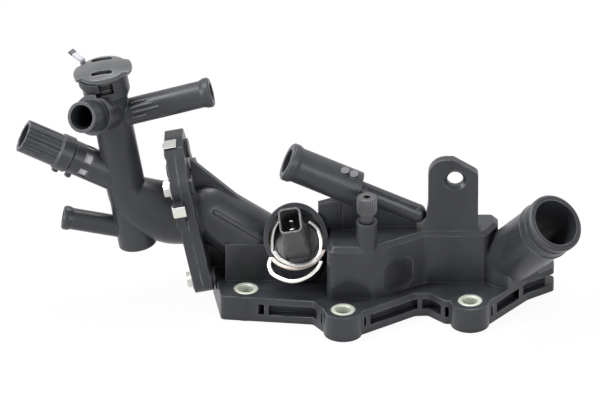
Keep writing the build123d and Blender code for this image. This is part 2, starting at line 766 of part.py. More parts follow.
with BuildPart() as branch_tower:
    add(tower_skin.part)
    rod(tower_point(tower_end_z + tower_floor_t), tower_axis,
        (tower_top_z - tower_end_z) / tower_axis[2], tower_r - tower_wall, mode=Mode.SUBTRACT)
    with BuildSketch(horn_plane):
        Circle(horn_root_r - tower_wall)
    with BuildSketch(port_plane.offset(-0.1)):
        Circle(port_bore_r)
    loft(mode=Mode.SUBTRACT)
    rod(upper_root, upper_axis, upper_length + 1, upper_bore_r, mode=Mode.SUBTRACT)
    rod(lower_root, lower_axis, lower_length + 1, lower_bore_r, mode=Mode.SUBTRACT)
    rod(front_root, front_axis, front_length + 1, front_bore_r, mode=Mode.SUBTRACT)
    rod(coupling_root, coupling_axis, receiver_length, coupling_bore_r, mode=Mode.SUBTRACT)
    rod(on_line(coupling_root, coupling_axis, receiver_floor), coupling_axis, receiver_length,
        receiver_r, mode=Mode.SUBTRACT)
    rod(on_line(coupling_root, coupling_axis, lock_at), coupling_axis, lock_w + 2 * part_gap,
        lock_outer_r + part_gap, mode=Mode.SUBTRACT)
    with Locations(Plane(origin=on_line(coupling_root, coupling_axis, lock_at + part_gap),
                         z_dir=coupling_axis)):
        with PolarLocations(0, lock_windows, start_angle=lock_window_turn):
            Box(coupling_r + 2, lock_window_w, lock_w,
                align=(Align.MIN, Align.CENTER, Align.MIN), mode=Mode.SUBTRACT)
    rod(on_line(neck_start, tower_axis, neck_flare_h), tower_axis, neck_h + 1,
        neck_flare_r - neck_wall, mode=Mode.SUBTRACT)
    with Locations(Plane(origin=on_line(cap_centre, tower_axis, -cap_t - neck_window_drop),
                         x_dir=(0, 1, 0), z_dir=tower_axis)):
        Box(4 * neck_flare_r, neck_window_w, neck_window_h,
            align=(Align.CENTER, Align.CENTER, Align.MAX), mode=Mode.SUBTRACT)
    with Locations(port_plane):
        with Locations(*[(u, v, 0) for u, v in joint_ears]):
            Cylinder(joint_screw_r + joint_screw_gap, plate_t, align=FOOT, mode=Mode.SUBTRACT)
branch_tower.part.label = "branch_tower"
export_step(branch_tower.part, "parts/branch_tower.step")

# Gasket and screws of the joint
with BuildPart() as joint_gasket:
    with BuildSketch(port_plane.offset(-joint_gasket_depth)):
        Circle(joint_gasket_r + joint_gasket_w / 2)
        Circle(joint_gasket_r - joint_gasket_w / 2, mode=Mode.SUBTRACT)
    extrude(amount=joint_gasket_depth)
joint_gasket.part.label = "joint_gasket"
export_step(joint_gasket.part, "parts/joint_gasket.step")

for number, spot in enumerate(joint_ears, start=1):
    with BuildPart() as screw:
        with BuildSketch(port_plane.offset(plate_t)):
            with Locations(spot):
                Circle(joint_washer_r)
        extrude(amount=joint_washer_t)
        with BuildSketch(port_plane.offset(plate_t + joint_washer_t)):
            with Locations(spot):
                RegularPolygon(joint_head_r, 6)
        extrude(amount=joint_head_h)
        with BuildSketch(port_plane.offset(plate_t)):
            with Locations(spot):
                Circle(joint_screw_r)
        extrude(amount=-(2 * plate_t + joint_boss_length - joint_hole_floor - joint_tip_gap))
    screw.part.label = f"joint_screw_{number}"
    export_step(screw.part, f"parts/joint_screw_{number}.step")

sensor_seal_plane = seat_plane.offset(-sensor_disc_t - sensor_seal_at)

# Temperature sensor: body with its socket, seal, brass probe and two pins
with BuildPart() as sensor_body:
    with BuildSketch(seat_plane.offset(-sensor_disc_t)):
        Circle(sensor_disc_r)
    extrude(amount=sensor_disc_t)
    with BuildSketch(seat_plane.offset(-sensor_disc_t)):
        Circle(sensor_stem_r)
    extrude(amount=-sensor_stem_length)
    with BuildSketch(seat_plane):
        RectangleRounded(connector_size[0] + connector_foot_grow[0],
                         connector_size[1] + connector_foot_grow[1], connector_corner_r)
    with BuildSketch(seat_plane.offset(connector_foot_h)):
        RectangleRounded(*connector_size, connector_corner_r)
    loft()
    with BuildSketch(seat_plane.offset(connector_foot_h)):
        RectangleRounded(*connector_size, connector_corner_r)
    extrude(amount=connector_reach - connector_foot_h)
    with BuildSketch(seat_plane.offset(connector_reach)):
        RectangleRounded(connector_size[0] - 2 * connector_wall,
                         connector_size[1] - 2 * connector_wall,
                         connector_corner_r - connector_wall)
    extrude(amount=-connector_depth, mode=Mode.SUBTRACT)
    seal_groove(sensor_seal_plane, seat_bore_r, sensor_seal_r)
sensor_body.part.label = "sensor_body"
export_step(sensor_body.part, "parts/sensor_body.step")

with BuildPart() as sensor_seal:
    seal_ring(sensor_seal_plane, seat_bore_r, sensor_seal_r)
sensor_seal.part.label = "sensor_seal"
export_step(sensor_seal.part, "parts/sensor_seal.step")

with BuildPart() as sensor_probe:
    with BuildSketch(seat_plane.offset(-sensor_disc_t - sensor_stem_length)):
        Circle(probe_collar_r)
    extrude(amount=-probe_collar_h)
    with BuildSketch(seat_plane.offset(-sensor_disc_t - sensor_stem_length - probe_collar_h)):
        Circle(probe_r)
    extrude(amount=-probe_length)
    fillet(sensor_probe.faces().sort_by(Axis.Z)[0].edges(), probe_tip_r)
sensor_probe.part.label = "sensor_probe"
export_step(sensor_probe.part, "parts/sensor_probe.step")

for number, side in enumerate((-1, 1), start=1):
    with BuildPart() as pin:
        with BuildSketch(seat_plane.offset(connector_reach - connector_depth)):
            with Locations((0, side * pin_pitch / 2)):
                Rectangle(*pin_size)
        extrude(amount=pin_reach)
        chamfer(pin.faces().sort_by(Axis.Z)[-1].edges(), pin_size[1] / 4)
    pin.part.label = f"sensor_pin_{number}"
    export_step(pin.part, f"parts/sensor_pin_{number}.step")

# Spring clip that holds the sensor: an open ring round the disc and a bow below the boss
with BuildPart() as sensor_clip:
    with BuildSketch(seat_plane.offset(clip_lift)):
        Circle(clip_inner_r + clip_w)
        Circle(clip_inner_r, mode=Mode.SUBTRACT)
        with BuildLine():
            Polyline((0, 0), (-clip_open_w, clip_r_far), (clip_open_w, clip_r_far), close=True)
        make_face(mode=Mode.SUBTRACT)
        with BuildSketch(mode=Mode.PRIVATE) as bow:
            with Locations((0, -clip_bow_drop)):
                Circle(clip_inner_r + clip_w)
                Circle(clip_inner_r, mode=Mode.SUBTRACT)
            with Locations((0, -clip_bow_drop - clip_inner_r * sin(radians(clip_join_turn)))):
                Rectangle(4 * clip_inner_r, 4 * clip_inner_r, mode=Mode.SUBTRACT,
                          align=(Align.CENTER, Align.MIN))
        add(bow.sketch)
        for side in (-1, 1):
            with Locations((side * (clip_inner_r + clip_w / 2) * cos(radians(clip_join_turn)),
                            -(clip_inner_r + clip_w / 2) * sin(radians(clip_join_turn)))):
                Rectangle(clip_w, clip_bow_drop, align=(Align.CENTER, Align.MAX))
    extrude(amount=clip_t)
sensor_clip.part.label = "sensor_clip"
export_step(sensor_clip.part, "parts/sensor_clip.step")

# Bleed screw with its seal
bleed_plane = Plane(origin=(bleed_spot[0], bleed_spot[1], bleed_boss_top))
bleed_seal_plane = bleed_plane.offset(bleed_seal_at - bleed_thread_length)
with BuildPart() as bleed_screw:
    with BuildSketch(bleed_plane.offset(-bleed_thread_length)):
        Circle(bleed_thread_r)
    extrude(amount=bleed_thread_length + bleed_seat_gap)
    with BuildSketch(bleed_plane.offset(bleed_seat_gap)):
        Circle(bleed_neck_r)
    extrude(amount=bleed_head_gap - bleed_seat_gap)
    with BuildSketch(bleed_plane.offset(bleed_head_gap)):
        Circle(bleed_head_r)
        with PolarLocations(bleed_head_r, bleed_flutes):
            Circle(bleed_flute_r, mode=Mode.SUBTRACT)
    extrude(amount=bleed_head_h)
    with BuildSketch(bleed_plane.offset(bleed_head_gap + bleed_head_h)):
        Circle(bleed_recess_r)
    extrude(amount=-bleed_recess_depth, mode=Mode.SUBTRACT)
    seal_groove(bleed_seal_plane, bleed_thread_r + running_gap, bleed_seal_r)
bleed_screw.part.label = "bleed_screw"
export_step(bleed_screw.part, "parts/bleed_screw.step")

with BuildPart() as bleed_seal:
    seal_ring(bleed_seal_plane, bleed_thread_r + running_gap, bleed_seal_r)
bleed_seal.part.label = "bleed_seal"
export_step(bleed_seal.part, "parts/bleed_seal.step")

# Vent plug, its seal and its clip
cap_plane = Plane(origin=cap_centre, x_dir=(cos(radians(tower_lean)), 0, -sin(radians(tower_lean))),
                  z_dir=tower_axis)
cap_seal_plane = cap_plane.offset(-cap_t - cap_seal_at)
stem_r = neck_flare_r - neck_wall - part_gap
with BuildPart() as vent_plug:
    with BuildSketch(cap_plane.offset(-cap_t)):
        Circle(cap_r)
        with BuildSketch(mode=Mode.PRIVATE) as wings:
            Circle(cap_wing_r)
            Rectangle(3 * cap_wing_r, cap_wing_w, mode=Mode.INTERSECT)
        add(wings.sketch)
    extrude(amount=cap_t)
    with Locations(cap_plane.offset(-cap_crown_r)):
        Sphere(cap_crown_r, mode=Mode.INTERSECT)
    with BuildSketch(cap_plane.offset(-cap_t)):
        Circle(stem_r)
    extrude(amount=-cap_stem_length)
    for side, width in zip((-1, 1), cap_slot_w):
        with BuildSketch(cap_plane):
            with Locations((0, side * cap_slot_y)):
                SlotOverall(cap_slot_l, width)
        extrude(amount=-cap_slot_depth, mode=Mode.SUBTRACT)
    seal_groove(cap_seal_plane, neck_flare_r - neck_wall, cap_seal_r)
vent_plug.part.label = "vent_plug"
export_step(vent_plug.part, "parts/vent_plug.step")

with BuildPart() as vent_seal:
    seal_ring(cap_seal_plane, neck_flare_r - neck_wall, cap_seal_r)
vent_seal.part.label = "vent_seal"
export_step(vent_seal.part, "parts/vent_seal.step")

vent_clip_foot = -cap_t - vent_clip_gap - vent_clip_h
tab_r = cap_r + vent_clip_gap
tab_way = cap_plane.x_dir.rotate(Axis((0, 0, 0), tower_axis), vent_tab_turn)
tab_plane = Plane(origin=cap_centre, x_dir=tab_way,
                  z_dir=tab_way.cross(Vector(*tower_axis)))
with BuildPart() as vent_clip:
    with BuildSketch(cap_plane.offset(vent_clip_foot)):
        Circle(neck_flare_r + vent_clip_t)
        Circle(neck_flare_r, mode=Mode.SUBTRACT)
        with Locations((-vent_clip_end, 0)):
            Rectangle(4 * neck_flare_r, 4 * neck_flare_r, mode=Mode.SUBTRACT,
                      align=(Align.MIN, Align.CENTER))
    extrude(amount=vent_clip_h)
    with BuildSketch(tab_plane):
        with BuildLine():
            Polyline((tab_r, vent_clip_foot), (tab_r + vent_tab_t, vent_clip_foot),
                     (tab_r + vent_tab_t, 0), vent_tab_tip,
                     (vent_tab_tip[0] - vent_tab_t, vent_tab_tip[1] + vent_tab_t), (tab_r, vent_tab_t),
                     close=True)
        make_face()
    extrude(amount=vent_tab_w / 2, both=True)
vent_clip.part.label = "vent_clip"
export_step(vent_clip.part, "parts/vent_clip.step")

# Plug of the quick coupling, its lock ring and its seal
coupling_plane = Plane(origin=coupling_root, x_dir=(0, 1, 0), z_dir=coupling_axis)
with BuildPart() as coupling_plug:
    with BuildSketch(coupling_plane.offset(receiver_floor + part_gap)):
        Circle(plug_r)
    extrude(amount=receiver_length - receiver_floor)
    with BuildSketch(coupling_plane.offset(receiver_length + part_gap)):
        Circle(collar_r)
    extrude(amount=collar_w)
    chamfer(coupling_plug.edges().filter_by(GeomType.CIRCLE).sort_by(SortBy.RADIUS)[-2:], collar_chamfer)
    rod(on_line(coupling_root, coupling_axis, plug_lug_at), coupling_down, lug_reach, lug_r)
    with BuildSketch(coupling_plane.offset(receiver_length + collar_w)):
        Circle(coupling_r)
        with PolarLocations(coupling_r, grip_grooves):
            Circle(grip_groove_r, mode=Mode.SUBTRACT)
    extrude(amount=coupling_length - receiver_length - collar_w)
    with BuildSketch(coupling_plane.offset(receiver_floor)):
        Circle(coupling_bore_r)
    extrude(amount=coupling_length, mode=Mode.SUBTRACT)
    with BuildSketch(coupling_plane.offset(coupling_length)):
        Circle(socket_bore_r)
    extrude(amount=-socket_depth, mode=Mode.SUBTRACT)
    with BuildSketch(coupling_plane.offset(lock_at)):
        Circle(plug_r + 1)
        Circle(lock_inner_r - part_gap, mode=Mode.SUBTRACT)
    extrude(amount=lock_w + 2 * part_gap, mode=Mode.SUBTRACT)
    seal_groove(coupling_plane.offset(plug_seal_at), receiver_r, plug_seal_r)
coupling_plug.part.label = "coupling_plug"
export_step(coupling_plug.part, "parts/coupling_plug.step")

with BuildPart() as coupling_lock:
    with BuildSketch(coupling_plane.offset(lock_at + part_gap)):
        Circle(lock_outer_r)
        Circle(lock_inner_r, mode=Mode.SUBTRACT)
        with Locations((0, lock_outer_r)):
            Rectangle(3.0, lock_outer_r, mode=Mode.SUBTRACT)
    extrude(amount=lock_w)
coupling_lock.part.label = "coupling_lock"
export_step(coupling_lock.part, "parts/coupling_lock.step")

with BuildPart() as coupling_seal:
    seal_ring(coupling_plane.offset(plug_seal_at), receiver_r, plug_seal_r)
coupling_seal.part.label = "coupling_seal"
export_step(coupling_seal.part, "parts/coupling_seal.step")
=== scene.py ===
"""Studio scene of an engine coolant flange: finishes, formed details, floor, light and camera.

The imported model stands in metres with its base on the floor. Nothing here moves a CAD part: the
operators below give each part its finish, add the formed details and set up the stage.
"""

from math import cos, pi, radians, sin

import bpy
import numpy as np
from bpy.props import FloatProperty, FloatVectorProperty, IntProperty, PointerProperty
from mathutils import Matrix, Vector


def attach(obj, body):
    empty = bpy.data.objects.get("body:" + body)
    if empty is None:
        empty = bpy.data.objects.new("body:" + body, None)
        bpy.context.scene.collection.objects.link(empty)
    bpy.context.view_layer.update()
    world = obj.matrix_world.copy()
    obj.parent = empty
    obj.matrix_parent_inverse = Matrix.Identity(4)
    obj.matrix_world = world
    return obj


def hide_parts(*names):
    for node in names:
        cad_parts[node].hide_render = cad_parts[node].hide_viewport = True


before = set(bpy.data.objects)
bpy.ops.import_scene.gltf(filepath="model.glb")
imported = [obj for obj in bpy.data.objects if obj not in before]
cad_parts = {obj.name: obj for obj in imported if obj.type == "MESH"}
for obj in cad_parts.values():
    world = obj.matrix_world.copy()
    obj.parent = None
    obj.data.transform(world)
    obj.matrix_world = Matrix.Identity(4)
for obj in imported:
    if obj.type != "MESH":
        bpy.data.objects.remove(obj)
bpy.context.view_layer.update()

bl_info = {
    "name": "Coolant flange studio",
    "version": (1, 0, 0),
    "blender": (4, 5, 0),
    "location": "3D View > Sidebar > Flange",
    "description": "Finishes, formed details and the studio stage of an engine coolant flange",
    "category": "Object",
}

MM = 0.001
BODY = "flange_body"
FRONT = np.array((0.0, -1.0, 0.0))
WHITE = (1.0, 1.0, 1.0)
# Radius that closes the end of a turned shape
TIP = 0.001
# Edges that turn by more than this stay sharp, in degrees
SHARP_TURN = 35
SECTION_POINTS = 20

# All sizes below are in millimetres and all angles in degrees, unless a comment says otherwise.

# The joint of the two mouldings: the port, its ears and the screws' radii are the CAD source's
PORT_CENTRE = (-85.7, 50.0, 49.5)
PORT_LEAN = 11.0
PLATE_T = 5.2
JOINT_EARS = ((-12.0, 36.0), (0.0, -40.5), (-19.0, -27.0), (18.0, -18.0))
SCREW_R = 2.6
HEAD_R = 5.0
WASHER_R = 6.2
WASHER_T = 1.0
SCREW_REACH = 9.6
SCREW_PITCH = 1.0
SCREW_THREAD = 0.16
SCREW_ROWS = 110
SHANK_SIDES = 32
# Heights and radii of a screw's flange
WASHER_PROFILE = ((0.0, TIP), (0.0, WASHER_R - 0.2), (0.2, WASHER_R), (0.7, WASHER_R),
                  (WASHER_T, WASHER_R - 0.9), (WASHER_T, HEAD_R - 0.2))
# Shares of the head's height, and radii
HEAD_PROFILE = ((-0.02, 5.4), (0.1, 5.4), (0.72, 5.4), (0.87, 4.9), (0.97, 4.3), (1.0, 3.6),
                (0.86, 3.0), (0.86, TIP))
HEAD_HEIGHTS = (2.4, 0.7, 3.4, 3.6)
# Heads that take a dark copy of the screw steel, as painted shade
SHADED_BLACK_HEADS = (2, 4)

# The spring bridges: place across and down the plates, and half the width
BRIDGE_SPOTS = ((-7.2, -48.0, 4.5), (-34.0, -19.5, 3.2))
BRIDGE_T = 0.7

# The bleed screw: heights and radii of its shank below and above the thread
BLEED_FOOT = (13.2, 17.6, 61.7)
BLEED_SIDES = 96
BLEED_END = ((-12.0, TIP), (-11.4, 3.3), (-10.3, 3.3), (-10.3, 2.1), (-8.9, 2.1), (-8.9, 3.3))
BLEED_NECK = ((0.3, 3.3), (0.3, 3.85), (4.9, 3.85), (5.6, 3.85), (5.6, TIP))
THREAD_SPAN = (-8.9, 0.1)
THREAD_PITCH = 1.5
THREAD_R = 3.32
THREAD_DEPTH = 0.16
THREAD_ROWS = 90
# Heights and radii of its knob, and the share of the ridges' depth there
KNOB_PROFILE = ((5.0, 3.6, 0.0), (5.0, 5.0, 0.0), (5.4, 5.35, 0.0), (6.2, 5.5, 0.0),
                (6.9, 5.8, 1.0), (14.4, 5.8, 1.0), (14.9, 5.6, 0.6), (15.3, 5.35, 0.2),
                (15.6, 4.9, 0.0), (15.7, 4.4, 0.0), (15.7, 2.3, 0.0), (15.5, 2.0, 0.0),
                (13.4, 1.9, 0.0), (13.3, TIP, 0.0))
KNURL_POINTS = 8

# The sensor, placed as in the CAD source. The clip's points lie along the sensor's two cross axes
# and its own axis, counted from the seat's middle.
SENSOR_CENTRE = (-25.8, 32.0, 40.2)
SENSOR_AXIS = (-0.14, -0.568, 0.811)
SENSOR_ACROSS = (1.0, 0.0, 0.17)
CLIP_LIFT = 0.1
CLIP_TURN = ((-13.2, -5.0, 1.6), (-9.7, -10.5, 0.6), (-2.0, -14.6, 0.0), (6.1, -14.4, 0.0),
             (11.4, -10.4, 0.0), (13.5, -3.5, 0.0), (13.0, 3.9, 0.2), (11.2, 7.6, 0.8),
             (8.4, 10.6, 1.6))
CLIP_BOW = ((-8.2, 12.4, 5.6), (-11.4, 8.8, 3.8), (-13.4, 4.0, 1.8), (-14.3, -1.5, 0.4),
            (-15.2, -7.0, 0.0), (-16.9, -12.4, 0.0), (-14.6, -18.7, 0.0), (-6.2, -23.9, 0.0),
            (2.0, -23.5, 0.0), (9.3, -19.0, 0.0), (12.6, -14.6, 0.0))
SEAT_RING_R = 16.7
SEAT_RING_LIFT = 0.45
SEAT_RING_WIDTH = 2.4
SEAT_RING_T = 0.8
SEAT_RING_TURN = (200, 342)

# The blind end of the sensor's seat: its place, its half spans along x and z, and the shares of
# those spans and of its rise from foot to crown
SEAT_END = (-22.0, 53.4, 24.4)
SEAT_END_SPANS = (9.0, 6.0)
SEAT_END_SIDES = 64
SEAT_END_DOME = ((0.6, 0.0), (0.97, 0.0), (1.0, 0.05), (1.0, 0.5), (0.985, 0.78), (0.94, 0.9),
                 (0.86, 0.95), (0.72, 0.98), (0.5, 0.995), (0.25, 1.0), (TIP, 1.0))

# The branch tower's vent clip: the tower's foot and lean and the cap's height are the CAD's
TOWER_FOOT = (-117.1, 50.0, 41.1)
TOWER_LEAN = -9.85
CAP_Z = 143.6
NECK_R = 13.2
CLIP_FOOT = -10.5
BAND_GAP = 0.15
BAND_TURN = (102, 258)
# The tab's direction, and its line outwards and upwards from the middle of the cap
TAB_TURN = 137.0
TAB_LINE = ((15.3, -10.0), (15.3, -1.6), (16.2, -0.5), (18.0, 0.1), (20.4, 1.4), (23.4, 3.0))
TAB_T = 1.4
TAB_TIP_ROWS = 7
TAB_TIP_SCALE = 1.12
TAB_TIP_OUT = 0.02

# The swept elbow: its middle line, and its radius along it
ELBOW_LINE = ((-123.6, 50.0, 78.0), (-121.6, 50.0, 66.0), (-116.9, 50.0, 56.0),
              (-108.0, 50.0, 50.4), (-98.5, 50.0, 48.0), (-91.6, 50.0, 48.4),
              (-87.7, 50.0, 49.1))
ELBOW_R = (10.2, 11.2, 12.6, 14.4, 16.2, 17.2, 17.3)
ELBOW_SIDES = 96

# The upper branch, as in the CAD source, and its short ribs: the turn from the front, and where
# each one starts and ends
UPPER_ROOT = (-129.4, 50.0, 110.9)
UPPER_RISE = 15.4
UPPER_R = 7.6
ROOT_RIBS = ((2.0, 12.0, 20.0), (22.0, 13.0, 28.0), (42.0, 12.0, 25.0), (62.0, 13.0, 22.0))
RIB_ROWS = 12
RIB_DEPTH = 1.2
RIB_SINK = 0.6

# Rows along the bent strips, the seat ring and the vent clip's band
STRIP_ROWS = 40
ARC_ROWS = 60
BAND_ROWS = 64

# Finishes: the part of its range that soft noise mostly fills, the rays that look for edges and
# inner corners, and the painted shadows in the housing's recesses as middles and half spans
NOISE_SPAN = (0.3, 0.7)
RAY_SAMPLES = 6
HOUSING_PAINTED_SHADES = (((31.0, 21.2, 25.6), (9.5, 9.5, 10.5)), ((3.5, 11.7, 15.0), (13.0, 5.0, 13.0)),
                  ((-52.0, 40.0, 26.0), (13.0, 30.0, 14.0)))
# Colour inputs of a Mix node, in the order factor, first and second, and its colour output
MIX_INPUTS = (0, 6, 7)
MIX_OUTPUT = 2

# The stage, in metres: lamps by the name of their power setting, with their place from the
# middle of the picture and their width and height
LAMPS = (("key", (-1.35, -0.55, 0.55), (0.35, 0.9)), ("fill", (0.95, -1.25, 0.5), (0.9, 0.5)),
         ("top", (-0.2, 0.25, 1.35), (2.2, 0.4)))
FLOOR_RINGS = (0.001, 1.2, 3.0, 6.0)
FLOOR_SIDES = 96
FLOOR_Z = -0.0002
FLOOR_TONES = (0.80, 0.83)
FLOOR_GRAIN = 9.0
FLOOR_GLOW = 0.94
FILM_WIDTH_MM = 36.0
CLIP_SPAN = (0.1, 50.0)


# Shapes worked out as arrays

def unit(v):
    """A vector, or rows of vectors, brought to length one."""
    v = np.asarray(v, float)
    return v / np.linalg.norm(v, axis=-1, keepdims=True)


def square_axes(axis, across):
    """Three unit axes: axis, the part of across that is square to it, and their cross product."""
    axis = unit(axis)
    u = unit(np.asarray(across, float) - np.dot(across, axis) * axis)
    return axis, u, np.cross(axis, u)


def full_turn(count):
    """The angles of a full turn in equal steps, in radians."""
    return np.arange(count) * 2 * pi / count


def round_ways(turn, u, v):
    """Directions at angles a from u towards v: cos(a) * u + sin(a) * v."""
    return np.cos(turn)[:, None] * u + np.sin(turn)[:, None] * v


def grid_faces(rows, columns):
    """Quads between neighbouring rows and columns of a grid whose last column joins the first."""
    i = np.arange(rows - 1)[:, None]
    j = np.arange(columns)[None, :]
    k = (j + 1) % columns
    return np.stack([i * columns + j, i * columns + k, (i + 1) * columns + k,
                     (i + 1) * columns + j], -1).reshape(-1, 4)


def closed_grid(points):
    """Rings (rows, columns, 3) as vertices and faces, with a flat face over each end ring."""
    rows, columns = points.shape[:2]
    faces = grid_faces(rows, columns).tolist()
    faces.append(list(range(columns))[::-1])
    faces.append(list(range((rows - 1) * columns, rows * columns)))
    return points.reshape(-1, 3), faces


def carried_section(path, section, up):
    """A closed section carried along a path that lies in a plane.

    Each point is path(i) + s * side(i) + t * up, where side is up crossed with the path's
    direction, and (s, t) runs round the section.
    """
    path = np.asarray(path, float)
    way = unit(np.gradient(path, axis=0))
    up = unit(up)
    side = unit(np.cross(up, way))
    points = (path[:, None, :] + section[None, :, :1] * side[:, None, :]
              + section[None, :, 1:] * up[None, None, :])
    return closed_grid(points)


def rounded_section(width, height, power=4.0):
    """A soft rectangle: x = w/2 * sign(cos) * |cos|^(2/p), y = h/2 * sign(sin) * |sin|^(2/p)."""
    turn = full_turn(SECTION_POINTS)
    c, s = np.cos(turn), np.sin(turn)
    return np.stack([width / 2 * np.sign(c) * np.abs(c) ** (2 / power),
                     height / 2 * np.sign(s) * np.abs(s) ** (2 / power)], -1)


def turned_section(profile, origin, axis, across, count, shaped=None):
    """Rings turned about an axis: origin + h * axis + r * (cos a * u + sin a * v).

    The profile gives h and r of each ring. shaped(r, a) may change the radii by the angle, such
    as to a hexagon.
    """
    profile = np.asarray(profile, float)
    axis, u, v = square_axes(axis, across)
    turn = full_turn(count)
    r = np.repeat(profile[:, 1:2], count, 1)
    if shaped is not None:
        r = shaped(r, turn)
    points = (np.asarray(origin, float) + profile[:, :1, None] * axis
              + r[:, :, None] * round_ways(turn, u, v))
    return closed_grid(points)


def smooth_line(points, count):
    """A cubic through points, which is straight past its ends.

    Between b and c, with a before and d after them, it is
    0.5 * (2b + (c-a)t + (2a-5b+4c-d)t^2 + (3b-a-3c+d)t^3).
    """
    points = np.asarray(points, float)
    points = np.concatenate([2 * points[:1] - points[1:2], points,
                             2 * points[-1:] - points[-2:-1]])
    place = np.linspace(0, len(points) - 3, count)
    k = np.minimum(place.astype(int), len(points) - 4)
    t = (place - k)[:, None]
    a, b, c, d = points[k], points[k + 1], points[k + 2], points[k + 3]
    return 0.5 * (2 * b + (c - a) * t + (2 * a - 5 * b + 4 * c - d) * t ** 2
                  + (3 * b - a - 3 * c + d) * t ** 3)


def joined(parts):
    """Several (vertices, faces) pairs as one, each part's indices moved past those before it."""
    vertices = np.concatenate([p[0] for p in parts])
    faces, start = [], 0
    for points, part_faces in parts:
        faces += [[start + n for n in face] for face in part_faces]
        start += len(points)
    return vertices, faces


def make_piece(name, shape, finish, body):
    """A mesh object at the origin from points in millimetres, with its finish, body and slot."""
    vertices, faces = shape
    mesh = bpy.data.meshes.new(name)
    mesh.from_pydata((vertices * MM).tolist(), [], faces)
    mesh.update()
    mesh.materials.append(finish)
    mesh.shade_smooth()
    mesh.set_sharp_from_angle(angle=radians(SHARP_TURN))
    piece = bpy.data.objects.new(name, mesh)
    bpy.context.scene.collection.objects.link(piece)
    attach(piece, body)
    return piece


# Finishes: every one is made of nodes that read Object coordinates

def toned(colour, times, plus=0.0):
    """A colour made lighter or darker: c * times + plus, and at most 1."""
    return tuple(min(c * times + plus, 1.0) for c in colour)


class Graph:
    """The nodes of a material or a world, built up from nothing."""

    def __init__(self, owner):
        owner.use_nodes = True
        self.nodes = owner.node_tree.nodes
        self.links = owner.node_tree.links
        self.nodes.clear()

    def add(self, kind, *placed, **named):
        """A new node. Its inputs are given by place or by name, with _ for a space."""
        node = self.nodes.new("ShaderNode" + kind)
        for key, value in (*enumerate(placed), *named.items()):
            self.feed(node, key, value)
        return node

    def feed(self, node, key, value):
        """Links an input from a socket or sets it to a value, and leaves it alone for None."""
        socket = node.inputs[key if isinstance(key, int) else key.replace("_", " ")]
        if isinstance(value, bpy.types.NodeSocket):
            self.links.new(value, socket)
        elif socket.type == "RGBA":
            socket.default_value = (*value, 1.0)
        elif value is not None:
            socket.default_value = value

    def math(self, kind, first, second):
        """One arithmetic step on two sockets, or on a socket and a number."""
        node = self.add("Math", first, second)
        node.operation = kind
        return node.outputs[0]

    def seen(self):
        """1 on rays from the camera, off a gloss or through glass, and 0 on rays that light."""
        path = self.add("LightPath").outputs
        direct = self.math("MAXIMUM", path["Is Camera Ray"], path["Is Glossy Ray"])
        return self.math("MAXIMUM", direct, path["Is Transmission Ray"])


class Finish(Graph):
    """A material round one shader, with patterns that read Object coordinates, in metres."""

    def __init__(self, name):
        self.material = bpy.data.materials.get(name) or bpy.data.materials.new(name)
        super().__init__(self.material)
        self.shader = self.add("BsdfPrincipled")
        self.add("OutputMaterial", self.shader.outputs["BSDF"])
        self.place = self.add("TexCoord").outputs["Object"]

    def noise(self, scale, detail, stretch=(1, 1, 1)):
        """Soft noise of a number of waves to the metre, times stretch along each axis."""
        mapping = self.add("Mapping", Vector=self.place, Scale=stretch)
        return self.add("TexNoise", Vector=mapping.outputs["Vector"], Scale=scale,
                        Detail=detail).outputs["Fac"]

    def cells(self, scale):
        """The distance to the nearest of many scattered points."""
        return self.add("TexVoronoi", Vector=self.place, Scale=scale).outputs["Distance"]

    def spread(self, source, to, span=NOISE_SPAN):
        """A value brought from one span to another, and held at its ends."""
        return self.add("MapRange", Value=source, From_Min=span[0], From_Max=span[1],
                        To_Min=to[0], To_Max=to[1]).outputs["Result"]

    def mixed(self, factor, first, second):
        """Two colours mixed by a factor."""
        node = self.add("Mix")
        node.data_type = "RGBA"
        for place, value in zip(MIX_INPUTS, (factor, first, second)):
            self.feed(node, place, value)
        return node.outputs[MIX_OUTPUT]

    def soft_edges(self, radius):
        """Normals that round every edge by a radius in metres, and a mask bright at the edges."""
        narrow, wide = (self.add("Bevel", Radius=reach) for reach in (radius, 2 * radius))
        narrow.samples = wide.samples = RAY_SAMPLES
        flat = self.add("NewGeometry").outputs["Normal"]
        turn = self.add("VectorMath", wide.outputs["Normal"], flat)
        turn.operation = "DOT_PRODUCT"
        mask = self.spread(turn.outputs["Value"], to=(1.0, 0.0), span=(0.86, 0.99))
        return narrow.outputs["Normal"], mask

    def painted_hollow_shade(self, reach):
        """A mask for painted shade, dark in slots and inner corners within a reach in metres."""
        node = self.add("AmbientOcclusion", Distance=reach)
        node.samples = RAY_SAMPLES
        return self.spread(node.outputs["AO"], to=(0.0, 1.0), span=(0.25, 0.85))

    def near(self, centre, spans):
        """A soft mask, bright inside an ellipsoid of half spans about a centre."""
        scale = [1 / (span * MM) for span in spans]
        shift = [-c * MM * k for c, k in zip(centre, scale)]
        mapping = self.add("Mapping", Vector=self.place, Location=shift, Scale=scale)
        length = self.add("VectorMath", mapping.outputs["Vector"])
        length.operation = "LENGTH"
        return self.spread(length.outputs["Value"], to=(0.75, 0.0), span=(0.65, 1.15))

    def bumps(self, height, distance, strength, normal=None):
        """Bump from a height socket, on top of another normal if one is given."""
        return self.add("Bump", Height=height, Distance=distance, Strength=strength,
                        Normal=normal).outputs["Normal"]

    def done(self, **values):
        """Feeds the shader's inputs and gives the material."""
        for name, value in values.items():
            self.feed(self.shader, name, value)
        return self.material


